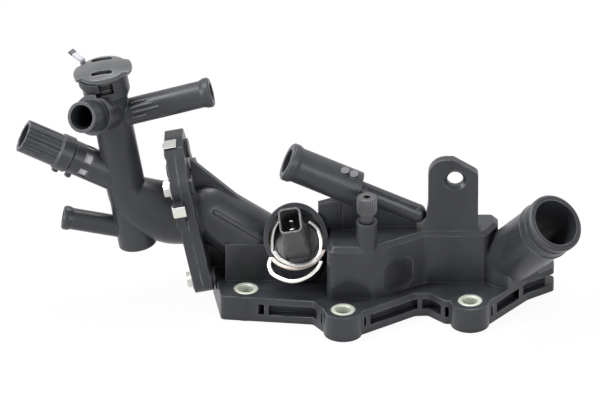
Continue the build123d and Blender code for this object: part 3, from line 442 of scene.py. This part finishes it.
def moulded_nylon(name, colour, rough, grain=1.0, painted_shades=()):
    """Glass-filled nylon: flow mottling, fibre specks, fine grain, scuffed edges with a painted
    highlight, painted shade in corners.

    painted_shades are painted shadows in the recesses, as pairs of a centre and half spans.
    """
    f = Finish(name)
    normal, edges = f.soft_edges(radius=0.0006)
    flow = f.noise(scale=46, detail=3.0, stretch=(1.0, 1.6, 0.5))
    fibres = f.noise(scale=2600, detail=1.0, stretch=(1.0, 1.0, 0.25))
    scuffs = f.noise(scale=90, detail=3.0)
    base = f.mixed(f.spread(flow, to=(0.0, 1.0)), toned(colour, 0.84), toned(colour, 1.2, 0.003))
    fleck = f.spread(fibres, to=(0.0, 0.22), span=(0.58, 0.74))
    base = f.mixed(fleck, base, toned(colour, 2.2, 0.01))
    # The edges are made lighter: partly scuff wear, partly a painted highlight where they catch
    # the light
    edge_scuffs_and_highlight = f.math("MULTIPLY", edges, f.spread(scuffs, to=(0.10, 0.85), span=(0.42, 0.64)))
    base = f.mixed(edge_scuffs_and_highlight, base, toned(colour, 4.0, 0.08))
    # Painted shadow: each listed recess of the housing gets a dark patch
    for centre, spans in painted_shades:
        base = f.mixed(f.near(centre, spans), base, toned(colour, 0.2))
    # Painted shade: slots and inner corners within the reach are darkened
    base = f.mixed(f.painted_hollow_shade(reach=0.004), toned(colour, 0.22), base)
    pits = f.math("MULTIPLY", f.cells(scale=900), 0.5)
    skin = f.math("ADD", f.noise(scale=3400, detail=2.0), pits)
    waves = f.noise(scale=58, detail=2.0)
    normal = f.bumps(waves, distance=0.0012, strength=0.05 * grain, normal=normal)
    normal = f.bumps(skin, distance=0.00004, strength=0.30 * grain, normal=normal)
    return f.done(Base_Color=base, Roughness=f.spread(flow, to=(rough - 0.05, rough + 0.08)),
                  Specular_IOR_Level=0.32, IOR=1.53, Normal=normal)


def plated_steel(name, colour, rough, brushed=(1, 1, 30), tint=(1.0, 0.93, 0.72), metal=1.0):
    """Plated steel: drawn tool marks, patches of a faint yellow film, edges lighter from rubbing
    and a painted highlight.
    """
    f = Finish(name)
    normal, edges = f.soft_edges(radius=0.00025)
    marks = f.noise(scale=900, detail=2.0, stretch=brushed)
    film = f.spread(f.noise(scale=130, detail=3.0), to=(0.0, 0.55), span=(0.45, 0.7))
    base = f.mixed(film, colour, tuple(c * t for c, t in zip(colour, tint)))
    base = f.mixed(f.spread(marks, to=(0.0, 0.25)), base, toned(colour, 0.72))
    # The edges are lightened: partly rubbed wear, partly a painted highlight
    base = f.mixed(f.math("MULTIPLY", edges, 0.4), base, toned(colour, 1.2))
    return f.done(Base_Color=base, Metallic=metal,
                  Roughness=f.spread(marks, to=(rough - 0.06, rough + 0.1)),
                  Normal=f.bumps(marks, distance=0.00003, strength=0.25, normal=normal))


def seal_rubber(name, colour):
    """Moulded rubber: dull, with a dusty bloom and a soft uneven skin."""
    f = Finish(name)
    bloom = f.spread(f.noise(scale=190, detail=4.0), to=(0.0, 0.5), span=(0.4, 0.7))
    skin = f.noise(scale=1500, detail=2.0)
    return f.done(Base_Color=f.mixed(bloom, colour, toned(colour, 2.4, 0.01)),
                  Roughness=f.spread(skin, to=(0.62, 0.8)),
                  Normal=f.bumps(skin, distance=0.00005, strength=0.25))


def pale_nylon(name, colour):
    """Unfilled nylon: pale and a little see-through, with faint flow lines and edges lightened as
    a painted highlight.
    """
    f = Finish(name)
    normal, edges = f.soft_edges(radius=0.0004)
    flow = f.noise(scale=140, detail=3.0, stretch=(1.0, 1.0, 0.3))
    base = f.mixed(f.spread(flow, to=(0.0, 1.0)), toned(colour, 0.86), colour)
    # Painted highlight: the edges are made lighter
    base = f.mixed(f.math("MULTIPLY", edges, 0.3), base, toned(colour, 1.15))
    skin = f.noise(scale=1700, detail=2.0)
    return f.done(Base_Color=base, Roughness=f.spread(flow, to=(0.36, 0.5)),
                  Subsurface_Weight=0.15, Subsurface_Scale=0.002,
                  Normal=f.bumps(skin, distance=0.00003, strength=0.2, normal=normal))


# Settings

class FlangeFinishSettings(bpy.types.PropertyGroup):
    """Colours and roughness of the finishes."""
    nylon: FloatVectorProperty(
        name="Black nylon", description="Colour of the black mouldings",
        default=(0.029, 0.0305, 0.036), min=0, max=1, subtype="COLOR")
    cap: FloatVectorProperty(
        name="Cap nylon", description="Colour of the vent plug and bleed screw",
        default=(0.085, 0.087, 0.091), min=0, max=1, subtype="COLOR")
    sensor: FloatVectorProperty(
        name="Sensor nylon", description="Colour of the sensor's body",
        default=(0.064, 0.065, 0.069), min=0, max=1, subtype="COLOR")
    pale: FloatVectorProperty(
        name="Pale nylon", description="Colour of the lock ring and the vent clip's tab",
        default=(0.42, 0.42, 0.46), min=0, max=1, subtype="COLOR")
    sleeve: FloatVectorProperty(
        name="Sleeve steel", description="Colour of the plated sleeves",
        default=(0.60, 0.63, 0.56), min=0, max=1, subtype="COLOR")
    clip: FloatVectorProperty(
        name="Spring steel", description="Colour of the bright spring clip",
        default=(0.66, 0.655, 0.63), min=0, max=1, subtype="COLOR")
    nylon_rough: FloatProperty(
        name="Nylon roughness", description="How dull the mouldings are",
        default=0.33, min=0, max=1, subtype="FACTOR")


class FlangeShapeSettings(bpy.types.PropertyGroup):
    """Sizes of the formed details, in metres."""
    strip_width: FloatProperty(
        name="Clip strip width", description="Width of the spring strip",
        default=0.0023, min=0.0005, max=0.004, unit="LENGTH")
    strip_thickness: FloatProperty(
        name="Clip strip thickness", description="Thickness of the spring strip",
        default=0.001, min=0.0003, max=0.002, unit="LENGTH")
    strip_points: IntProperty(
        name="Strip smoothness", description="Points along the spring strip",
        default=110, min=30, max=400)
    screw_sides: IntProperty(
        name="Head smoothness", description="Points round a screw head",
        default=72, min=24, max=144)
    band_thickness: FloatProperty(
        name="Band thickness", description="Thickness of the vent clip's band",
        default=0.0013, min=0.0004, max=0.003, unit="LENGTH")
    band_height: FloatProperty(
        name="Band height", description="Height of the vent clip's band",
        default=0.005, min=0.002, max=0.007, unit="LENGTH")
    tab_width: FloatProperty(
        name="Tab width", description="Width of the vent clip's tab",
        default=0.0036, min=0.001, max=0.008, unit="LENGTH")
    elbow_rings: IntProperty(
        name="Elbow smoothness", description="Rings along the swept elbow",
        default=60, min=12, max=200)
    rib_height: FloatProperty(
        name="Rib height", description="How far the ribs stand off the upper branch",
        default=0.0011, min=0.0003, max=0.002, unit="LENGTH")
    rib_width: FloatProperty(
        name="Rib width", description="Width of the ribs of the upper branch",
        default=0.0011, min=0.0004, max=0.003, unit="LENGTH")
    bridge_lift: FloatProperty(
        name="Bridge lift", description="Gap between a spring bridge and the plates",
        default=0.00045, min=0.0003, max=0.001, unit="LENGTH")
    seat_end_rise: FloatProperty(
        name="Seat end rise", description="How far the seat's blind end stands off the back wall",
        default=0.0024, min=0.001, max=0.005, unit="LENGTH")
    knurls: IntProperty(
        name="Knurls", description="Ridges round the bleed screw's knob",
        default=24, min=12, max=60)
    knurl_depth: FloatProperty(
        name="Knurl depth", description="Height of the knob's ridges",
        default=0.0005, min=0.00005, max=0.0008, unit="LENGTH")


class FlangeStageSettings(bpy.types.PropertyGroup):
    """Camera and light."""
    elevation: FloatProperty(
        name="Elevation", description="Camera's angle above the horizon",
        default=radians(29.0), subtype="ANGLE")
    distance: FloatProperty(
        name="Distance", description="Camera to object", default=8.0, unit="LENGTH")
    lens: FloatProperty(
        name="Lens", description="Focal length", default=857.1, unit="CAMERA")
    centre: FloatVectorProperty(
        name="Centre", description="Point at the middle of the picture",
        default=(-0.0241, 0.040, 0.0627), subtype="TRANSLATION")
    key: FloatProperty(
        name="Key light", description="Power of the lamp at the left",
        default=14.0, unit="POWER")
    fill: FloatProperty(
        name="Fill light", description="Power of the front lamp", default=12.0, unit="POWER")
    top: FloatProperty(
        name="Top light", description="Power of the strip lamp above", default=34.0, unit="POWER")
    world: FloatProperty(
        name="World", description="Strength of the even light", default=0.10)


# Operators: one for each group of pieces

def dress(nodes, finish):
    """Gives CAD nodes a finish without touching their meshes."""
    for name in nodes:
        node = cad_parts[name]
        if not node.material_slots:
            node.data.materials.append(finish)
        for slot in node.material_slots:
            slot.material = finish


def black_moulding(name, context):
    """The black nylon of the settings, for a formed detail of the mouldings."""
    s = context.scene.flange_finish
    return moulded_nylon(name, tuple(s.nylon), s.nylon_rough)


def joint_axes():
    """The joint's axes: away from the housing, along its width, and down its plates."""
    lean = radians(PORT_LEAN)
    normal = np.array((-cos(lean), 0.0, -sin(lean)))
    u = np.array((0.0, 1.0, 0.0))
    return normal, u, np.cross(normal, u)


class FLANGE_OT_mouldings(bpy.types.Operator):
    """Finish the housing, branch tower, coupling, vent plug and sensor body"""
    bl_idname = "flange.mouldings"
    bl_label = "Finish the mouldings"

    def execute(self, context):
        s = context.scene.flange_finish
        dress(["branch_tower", "coupling_plug"], black_moulding("black_nylon", context))
        dress(["housing"], moulded_nylon("housing_nylon", tuple(s.nylon), s.nylon_rough,
                                         painted_shades=HOUSING_PAINTED_SHADES))
        dress(["vent_plug"], moulded_nylon("cap_nylon", tuple(s.cap), s.nylon_rough - 0.02))
        dress(["sensor_body"], moulded_nylon("sensor_nylon", tuple(s.sensor),
                                             s.nylon_rough - 0.06, grain=0.6))
        return {"FINISHED"}


class FLANGE_OT_small_parts(bpy.types.Operator):
    """Finish the sleeves, seals, contacts, probe and lock ring"""
    bl_idname = "flange.small_parts"
    bl_label = "Finish the small parts"

    def execute(self, context):
        s = context.scene.flange_finish
        dress([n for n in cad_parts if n.startswith("sleeve_")],
              plated_steel("sleeve_steel", tuple(s.sleeve), rough=0.52,
                           tint=(1.0, 0.97, 0.84), metal=0.45))
        dress([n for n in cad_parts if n.endswith(("_seal", "_gasket"))],
              seal_rubber("seal_rubber", (0.012, 0.014, 0.013)))
        dress(["coupling_lock"], pale_nylon("pale_nylon", tuple(s.pale)))
        dress(["sensor_pin_1", "sensor_pin_2"],
              plated_steel("tinned_contact", (0.66, 0.65, 0.62), rough=0.3, brushed=(8, 8, 1)))
        dress(["sensor_probe"],
              plated_steel("probe_brass", (0.62, 0.43, 0.17), rough=0.32, brushed=(1, 1, 6)))
        return {"FINISHED"}


class FLANGE_OT_sensor_clip(bpy.types.Operator):
    """Make the bright spring clip round the sensor with its outer bow, and the dull seat ring"""
    bl_idname = "flange.sensor_clip"
    bl_label = "Sensor clip"

    def execute(self, context):
        s = context.scene.flange_shape
        width, thickness = s.strip_width / MM, s.strip_thickness / MM
        centre = np.asarray(SENSOR_CENTRE)
        axis, u, v = square_axes(SENSOR_AXIS, SENSOR_ACROSS)
        section = rounded_section(width, thickness)
        strips = []
        for turns in (CLIP_TURN, CLIP_BOW):
            line = smooth_line(turns, s.strip_points)
            path = (centre + line[:, :1] * u + line[:, 1:2] * v
                    + (line[:, 2:] + CLIP_LIFT + thickness / 2) * axis)
            strips.append(carried_section(path, section, axis))
        steel = plated_steel("spring_steel", tuple(context.scene.flange_finish.clip),
                             rough=0.24, brushed=(1, 1, 12), tint=(0.97, 0.95, 0.88))
        piece = make_piece("spring_clip", joined(strips), steel, BODY)
        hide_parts("sensor_clip")

        # A duller ring lies on the seat just outside the clip
        turn = np.linspace(*np.radians(SEAT_RING_TURN), ARC_ROWS)
        path = (centre + (CLIP_LIFT + SEAT_RING_LIFT) * axis
                + SEAT_RING_R * round_ways(turn, u, v))
        ring = carried_section(path, rounded_section(SEAT_RING_WIDTH, SEAT_RING_T, 3.0), axis)
        bronze = plated_steel("seat_ring_steel", (0.30, 0.26, 0.235), rough=0.36,
                              brushed=(1, 1, 12), tint=(0.95, 0.86, 0.78))
        make_piece("seat_ring", ring, bronze, BODY)
        return {"FINISHED"}


class FLANGE_OT_vent_clip(bpy.types.Operator):
    """Make the vent plug's clip: a dark band round the neck, and its pale tab with a dark tip"""
    bl_idname = "flange.vent_clip"
    bl_label = "Vent clip"

    def execute(self, context):
        s = context.scene.flange_shape
        lean = radians(TOWER_LEAN)
        axis = np.array((sin(lean), 0.0, cos(lean)))
        across = np.array((cos(lean), 0.0, -sin(lean)))
        back = np.cross(axis, across)
        centre = np.asarray(TOWER_FOOT) + (CAP_Z - TOWER_FOOT[2]) * axis / axis[2]

        # The band: its section is carried round the left half of the neck
        thickness, height = s.band_thickness / MM, s.band_height / MM
        turn = np.linspace(*np.radians(BAND_TURN), BAND_ROWS)
        middle = NECK_R + BAND_GAP + thickness / 2
        path = (centre + (CLIP_FOOT + height / 2) * axis
                + middle * round_ways(turn, across, back))
        band = carried_section(path, rounded_section(thickness, height, 7.0), axis)
        dark = moulded_nylon("vent_band_nylon", tuple(context.scene.flange_finish.nylon),
                             rough=0.42)
        piece = make_piece("vent_spring_band", band, dark, BODY)
        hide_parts("vent_clip")

        # The tab: bent outwards over the rim of the plug, with a dark sheath over its tip
        way = cos(radians(TAB_TURN)) * across + sin(radians(TAB_TURN)) * back
        side = np.cross(way, axis)
        line = smooth_line(TAB_LINE, STRIP_ROWS)
        path = centre + line[:, :1] * way + line[:, 1:] * axis
        section = rounded_section(TAB_T, s.tab_width / MM, 6.0)
        tab = carried_section(path, section, side)
        pale = pale_nylon("tab_nylon", tuple(context.scene.flange_finish.pale))
        make_piece("vent_clip_tab", tab, pale, BODY)
        end = path[-TAB_TIP_ROWS:] + TAB_TIP_OUT * way
        tip = carried_section(end, section * TAB_TIP_SCALE, side)
        make_piece("vent_clip_tip", tip, dark, BODY)
        return {"FINISHED"}


class FLANGE_OT_elbow(bpy.types.Operator):
    """Make the swept elbow that leads from the tower's tube to the port"""
    bl_idname = "flange.elbow"
    bl_label = "Elbow"

    def execute(self, context):
        rows = context.scene.flange_shape.elbow_rings
        path = smooth_line(ELBOW_LINE, rows)
        radius = smooth_line(np.array(ELBOW_R)[:, None], rows)
        way = unit(np.gradient(path, axis=0))
        rise = np.cross(way, FRONT)[:, None]
        # A ring: path + r * (cos a * front + sin a * rise)
        points = path[:, None] + radius[:, None] * round_ways(full_turn(ELBOW_SIDES), FRONT, rise)
        make_piece("swept_elbow", closed_grid(points), black_moulding("elbow_nylon", context),
                   BODY)
        return {"FINISHED"}


class FLANGE_OT_joint_screws(bpy.types.Operator):
    """Make the flanged hexagon screws of the joint"""
    bl_idname = "flange.joint_screws"
    bl_label = "Joint screws"

    def execute(self, context):
        sides = context.scene.flange_shape.screw_sides
        normal, u, v = joint_axes()
        bright = plated_steel("bright_screw", (0.62, 0.62, 0.60), rough=0.3,
                              brushed=(10, 1, 1))
        shaded_black = plated_steel("black_screw", (0.075, 0.075, 0.08), rough=0.38,
                             brushed=(10, 1, 1), tint=(1.0, 0.97, 0.92))

        def hexagon(r, turn):
            """At most a hexagon's radius: its half width over the cosine from a flat's middle."""
            flat = HEAD_R * cos(pi / 6) / np.cos((turn + pi / 6) % (pi / 3) - pi / 6)
            return np.minimum(r, flat)

        # The shank: past the plate its radius is R - depth * (1 - |2f - 1|), f in pitches
        rise = -np.linspace(SCREW_REACH, 0.0, SCREW_ROWS)
        wave = SCREW_THREAD * (np.abs((rise / SCREW_PITCH) % 1.0 - 0.5) * 2 - 1.0)
        radius = np.where(rise < -PLATE_T, SCREW_R + wave, SCREW_R - 0.02)
        radius[:2] = (TIP, SCREW_R - 0.6)
        shank_profile = np.stack([rise, radius], -1)

        for number, ((a, b), height) in enumerate(zip(JOINT_EARS, HEAD_HEIGHTS), start=1):
            foot = np.asarray(PORT_CENTRE) + a * u + b * v + PLATE_T * normal
            head_profile = np.array(HEAD_PROFILE)
            head_profile[:, 0] = WASHER_T + height * head_profile[:, 0]
            washer = turned_section(WASHER_PROFILE, foot, normal, u, sides)
            head = turned_section(head_profile, foot, normal, u, sides, hexagon)
            shank = turned_section(shank_profile, foot, normal, u, SHANK_SIDES)
            # Painted shade: some heads take a dark copy of the same screw steel
            finish = shaded_black if number in SHADED_BLACK_HEADS else bright
            piece = make_piece(f"flanged_screw_{number}", joined([washer, head, shank]), finish,
                               BODY)
            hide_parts(f"joint_screw_{number}")
        return {"FINISHED"}


class FLANGE_OT_branch_ribs(bpy.types.Operator):
    """Make the short ribs at the root of the upper branch, in a lighter nylon as a painted
    highlight
    """
    bl_idname = "flange.branch_ribs"
    bl_label = "Branch ribs"

    def execute(self, context):
        s = context.scene.flange_shape
        rise = radians(UPPER_RISE)
        way = np.array((cos(rise), 0.0, sin(rise)))
        up = np.cross(FRONT, way)
        section = rounded_section(s.rib_width / MM, RIB_DEPTH, 5.0)
        # A rib's ends sink into the tube: its lift is h * sin(pi * t) ^ 0.3 less the sink
        arch = np.sin(np.linspace(0.02, pi - 0.02, RIB_ROWS)) ** 0.3
        lift = s.rib_height / MM * arch - RIB_SINK
        ribs = []
        for turn, start, end in ROOT_RIBS:
            out = cos(radians(turn)) * FRONT + sin(radians(turn)) * up
            along = np.linspace(start, end, RIB_ROWS)
            path = np.asarray(UPPER_ROOT) + along[:, None] * way + (UPPER_R + lift)[:, None] * out
            ribs.append(carried_section(path, section, out))
        # Painted highlight: the ribs take the lighter cap colour so that they look lit
        moulded = moulded_nylon("rib_nylon", tuple(context.scene.flange_finish.cap), rough=0.36)
        make_piece("branch_root_ribs", joined(ribs), moulded, BODY)
        return {"FINISHED"}


class FLANGE_OT_joint_bridges(bpy.types.Operator):
    """Make the two bright spring bridges that grip the plates' edges; their brightness is partly
    a painted highlight
    """
    bl_idname = "flange.joint_bridges"
    bl_label = "Joint bridges"

    def execute(self, context):
        lift = context.scene.flange_shape.bridge_lift / MM
        normal, u, v = joint_axes()
        # Painted highlight: the bridges' bright steel also stands for light caught by the plates'
        # edges
        bright = plated_steel("bridge_steel", (0.70, 0.70, 0.68), rough=0.34,
                              brushed=(1, 8, 8), metal=0.7)
        # A bridge: a strip folded over the edge, whose legs run down both faces of the plates.
        # Its line runs along the joint's normal and outwards from the edge.
        line = ((PLATE_T + lift, -2.6), (PLATE_T + lift, -0.6), (PLATE_T + lift - 0.6, lift),
                (PLATE_T - 2.0, lift + 0.1), (0.0, lift + 0.1), (-1.5, lift + 0.05))
        turns = smooth_line(line, STRIP_ROWS)
        # The first grips the plates' top edge, and the second their front edge
        edges = ((-v, u), (-u, v))
        for number, ((a, b, half), (out, run)) in enumerate(zip(BRIDGE_SPOTS, edges), start=1):
            edge = np.asarray(PORT_CENTRE) + a * u + b * v
            path = edge + turns[:, :1] * normal + turns[:, 1:] * out
            section = rounded_section(BRIDGE_T, 2 * half, 6.0)
            make_piece(f"joint_bridge_{number}", carried_section(path, section, run), bright,
                       BODY)
        return {"FINISHED"}


class FLANGE_OT_seat_end(bpy.types.Operator):
    """Make the rounded blind end of the sensor's seat, on the back wall of the chamber"""
    bl_idname = "flange.seat_end"
    bl_label = "Seat end"

    def execute(self, context):
        # Rings of an oval: x = half * f * cos a, z = half * f * sin a, and y rises as f shrinks
        share, rise = np.array(SEAT_END_DOME).T
        rise = rise * (context.scene.flange_shape.seat_end_rise / MM)
        turn = full_turn(SEAT_END_SIDES)
        half_x, half_z = SEAT_END_SPANS
        points = np.stack([half_x * share[:, None] * np.cos(turn),
                           rise[:, None] * np.ones(SEAT_END_SIDES),
                           -half_z * share[:, None] * np.sin(turn)], -1) + np.asarray(SEAT_END)
        make_piece("seat_end", closed_grid(points), black_moulding("seat_end_nylon", context),
                   BODY)
        return {"FINISHED"}


class FLANGE_OT_bleed_screw(bpy.types.Operator):
    """Make the knurled bleed screw"""
    bl_idname = "flange.bleed_screw"
    bl_label = "Bleed screw"

    def execute(self, context):
        s = context.scene.flange_shape
        axis, across = (0.0, 0.0, 1.0), (1.0, 0.0, 0.0)

        # The shank with its seal groove, thread and neck
        rise = np.linspace(*THREAD_SPAN, THREAD_ROWS)
        crest = 1.0 - np.abs((rise % THREAD_PITCH) / (THREAD_PITCH / 2) - 1.0)
        thread = np.stack([rise, THREAD_R + THREAD_DEPTH * crest], -1)
        profile = np.concatenate([BLEED_END, thread, BLEED_NECK])
        shank = turned_section(profile, BLEED_FOOT, axis, across, BLEED_SIDES)

        # The knob: its radius is r - depth * |sin(n * a / 2)|, and the ridges fade at its ends
        knob_profile = np.array(KNOB_PROFILE)
        depth = s.knurl_depth / MM * knob_profile[:, 2:]

        def ridged(r, turn):
            """The radius less the grooves between n ridges."""
            return r - depth * np.abs(np.sin(s.knurls * turn / 2))

        knob = turned_section(knob_profile[:, :2], BLEED_FOOT, axis, across,
                              s.knurls * KNURL_POINTS, ridged)
        nylon = moulded_nylon("bleed_nylon", toned(context.scene.flange_finish.cap, 0.6),
                              rough=0.4)
        piece = make_piece("knurled_bleed_screw", joined([shank, knob]), nylon,
                           "bleed_screw_body")
        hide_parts("bleed_screw")
        return {"FINISHED"}


class FLANGE_OT_stage(bpy.types.Operator):
    """Set up the floor, the lamps, the white surround and the camera"""
    bl_idname = "flange.stage"
    bl_label = "Stage"

    def execute(self, context):
        s = context.scene.flange_stage
        scene = context.scene
        centre = Vector(s.centre)
        self.floor(scene)
        self.surround(scene, s.world)
        for name, place, size in LAMPS:
            self.lamp(scene, name, centre + Vector(place), centre, size, getattr(s, name))

        camera = bpy.data.objects.new("camera", bpy.data.cameras.new("camera"))
        scene.collection.objects.link(camera)
        camera.data.lens = s.lens
        camera.data.sensor_width = FILM_WIDTH_MM
        camera.data.clip_start, camera.data.clip_end = CLIP_SPAN
        away = Vector((0.0, -cos(s.elevation), sin(s.elevation)))
        camera.location = centre + away * s.distance
        camera.rotation_euler = (-away).to_track_quat("-Z", "Y").to_euler()
        scene.camera = camera
        scene.view_settings.view_transform = "Standard"
        return {"FINISHED"}

    def floor(self, scene):
        """A large pale disc in rings: x = r * cos a, y = r * sin a."""
        rings = np.array(FLOOR_RINGS)[:, None]
        turn = full_turn(FLOOR_SIDES)
        level = np.full((len(FLOOR_RINGS), FLOOR_SIDES), FLOOR_Z)
        points = np.stack([rings * np.cos(turn), rings * np.sin(turn), level], -1)
        faces = grid_faces(len(FLOOR_RINGS), FLOOR_SIDES).tolist() + [list(range(FLOOR_SIDES))]
        mesh = bpy.data.meshes.new("floor")
        mesh.from_pydata(points.reshape(-1, 3).tolist(), [], faces)
        floor = bpy.data.objects.new("floor", mesh)
        scene.collection.objects.link(floor)
        mesh.materials.append(self.floor_finish())

    def floor_finish(self):
        """Diffuse off-white that keeps a faint shadow, mixed with white where it is looked at."""
        material = bpy.data.materials.new("floor_white")
        g = Graph(material)
        place = g.add("TexCoord").outputs["Object"]
        grain = g.add("TexNoise", Vector=place, Scale=FLOOR_GRAIN).outputs["Fac"]
        ramp = g.add("ValToRGB", grain)
        for element, tone in zip(ramp.color_ramp.elements, FLOOR_TONES):
            element.color = (tone, tone, tone, 1)
        pale = g.add("BsdfDiffuse", ramp.outputs["Color"]).outputs["BSDF"]
        white = g.add("Emission").outputs["Emission"]
        share = g.math("MULTIPLY", g.seen(), FLOOR_GLOW)
        mix = g.add("MixShader", share, pale, white)
        g.add("OutputMaterial", mix.outputs["Shader"])
        return material

    def surround(self, scene, strength):
        """A world that looks plain white, and lights the object evenly at its own strength."""
        scene.world = bpy.data.worlds.new("surround")
        g = Graph(scene.world)
        even, white = (g.add("Background", Color=WHITE, Strength=power).outputs["Background"]
                       for power in (strength, 1.0))
        mix = g.add("MixShader", g.seen(), even, white)
        g.add("OutputWorld", mix.outputs["Shader"])

    def lamp(self, scene, name, place, target, size, power):
        """A soft rectangular lamp that faces a target."""
        data = bpy.data.lights.new(name, "AREA")
        data.shape = "RECTANGLE"
        data.size, data.size_y = size
        data.energy = power
        lamp = bpy.data.objects.new(name, data)
        scene.collection.objects.link(lamp)
        lamp.location = place
        lamp.rotation_euler = (target - place).to_track_quat("-Z", "Y").to_euler()


class FLANGE_PT_panel(bpy.types.Panel):
    """Lists the settings and the operators in the sidebar"""
    bl_idname = "FLANGE_PT_panel"
    bl_label = "Coolant flange"
    bl_space_type = "VIEW_3D"
    bl_region_type = "UI"
    bl_category = "Flange"

    def draw(self, context):
        for group in (getattr(context.scene, name) for name in GROUPS):
            for name in group.__annotations__:
                self.layout.prop(group, name)
        for operator in OPERATORS:
            self.layout.operator(operator.bl_idname)


OPERATORS = (FLANGE_OT_mouldings, FLANGE_OT_small_parts, FLANGE_OT_sensor_clip,
             FLANGE_OT_vent_clip, FLANGE_OT_elbow, FLANGE_OT_branch_ribs, FLANGE_OT_joint_screws,
             FLANGE_OT_joint_bridges, FLANGE_OT_seat_end, FLANGE_OT_bleed_screw, FLANGE_OT_stage)
GROUPS = {"flange_finish": FlangeFinishSettings, "flange_shape": FlangeShapeSettings,
          "flange_stage": FlangeStageSettings}
CLASSES = (*GROUPS.values(), *OPERATORS, FLANGE_PT_panel)


def register():
    for kind in CLASSES:
        bpy.utils.register_class(kind)
    for name, kind in GROUPS.items():
        setattr(bpy.types.Scene, name, PointerProperty(type=kind))


def unregister():
    for name in GROUPS:
        delattr(bpy.types.Scene, name)
    for kind in reversed(CLASSES):
        bpy.utils.unregister_class(kind)


def main():
    register()
    for operator in OPERATORS:
        group, name = operator.bl_idname.split(".")
        getattr(getattr(bpy.ops, group), name)()


if __name__ == "__main__":
    main()
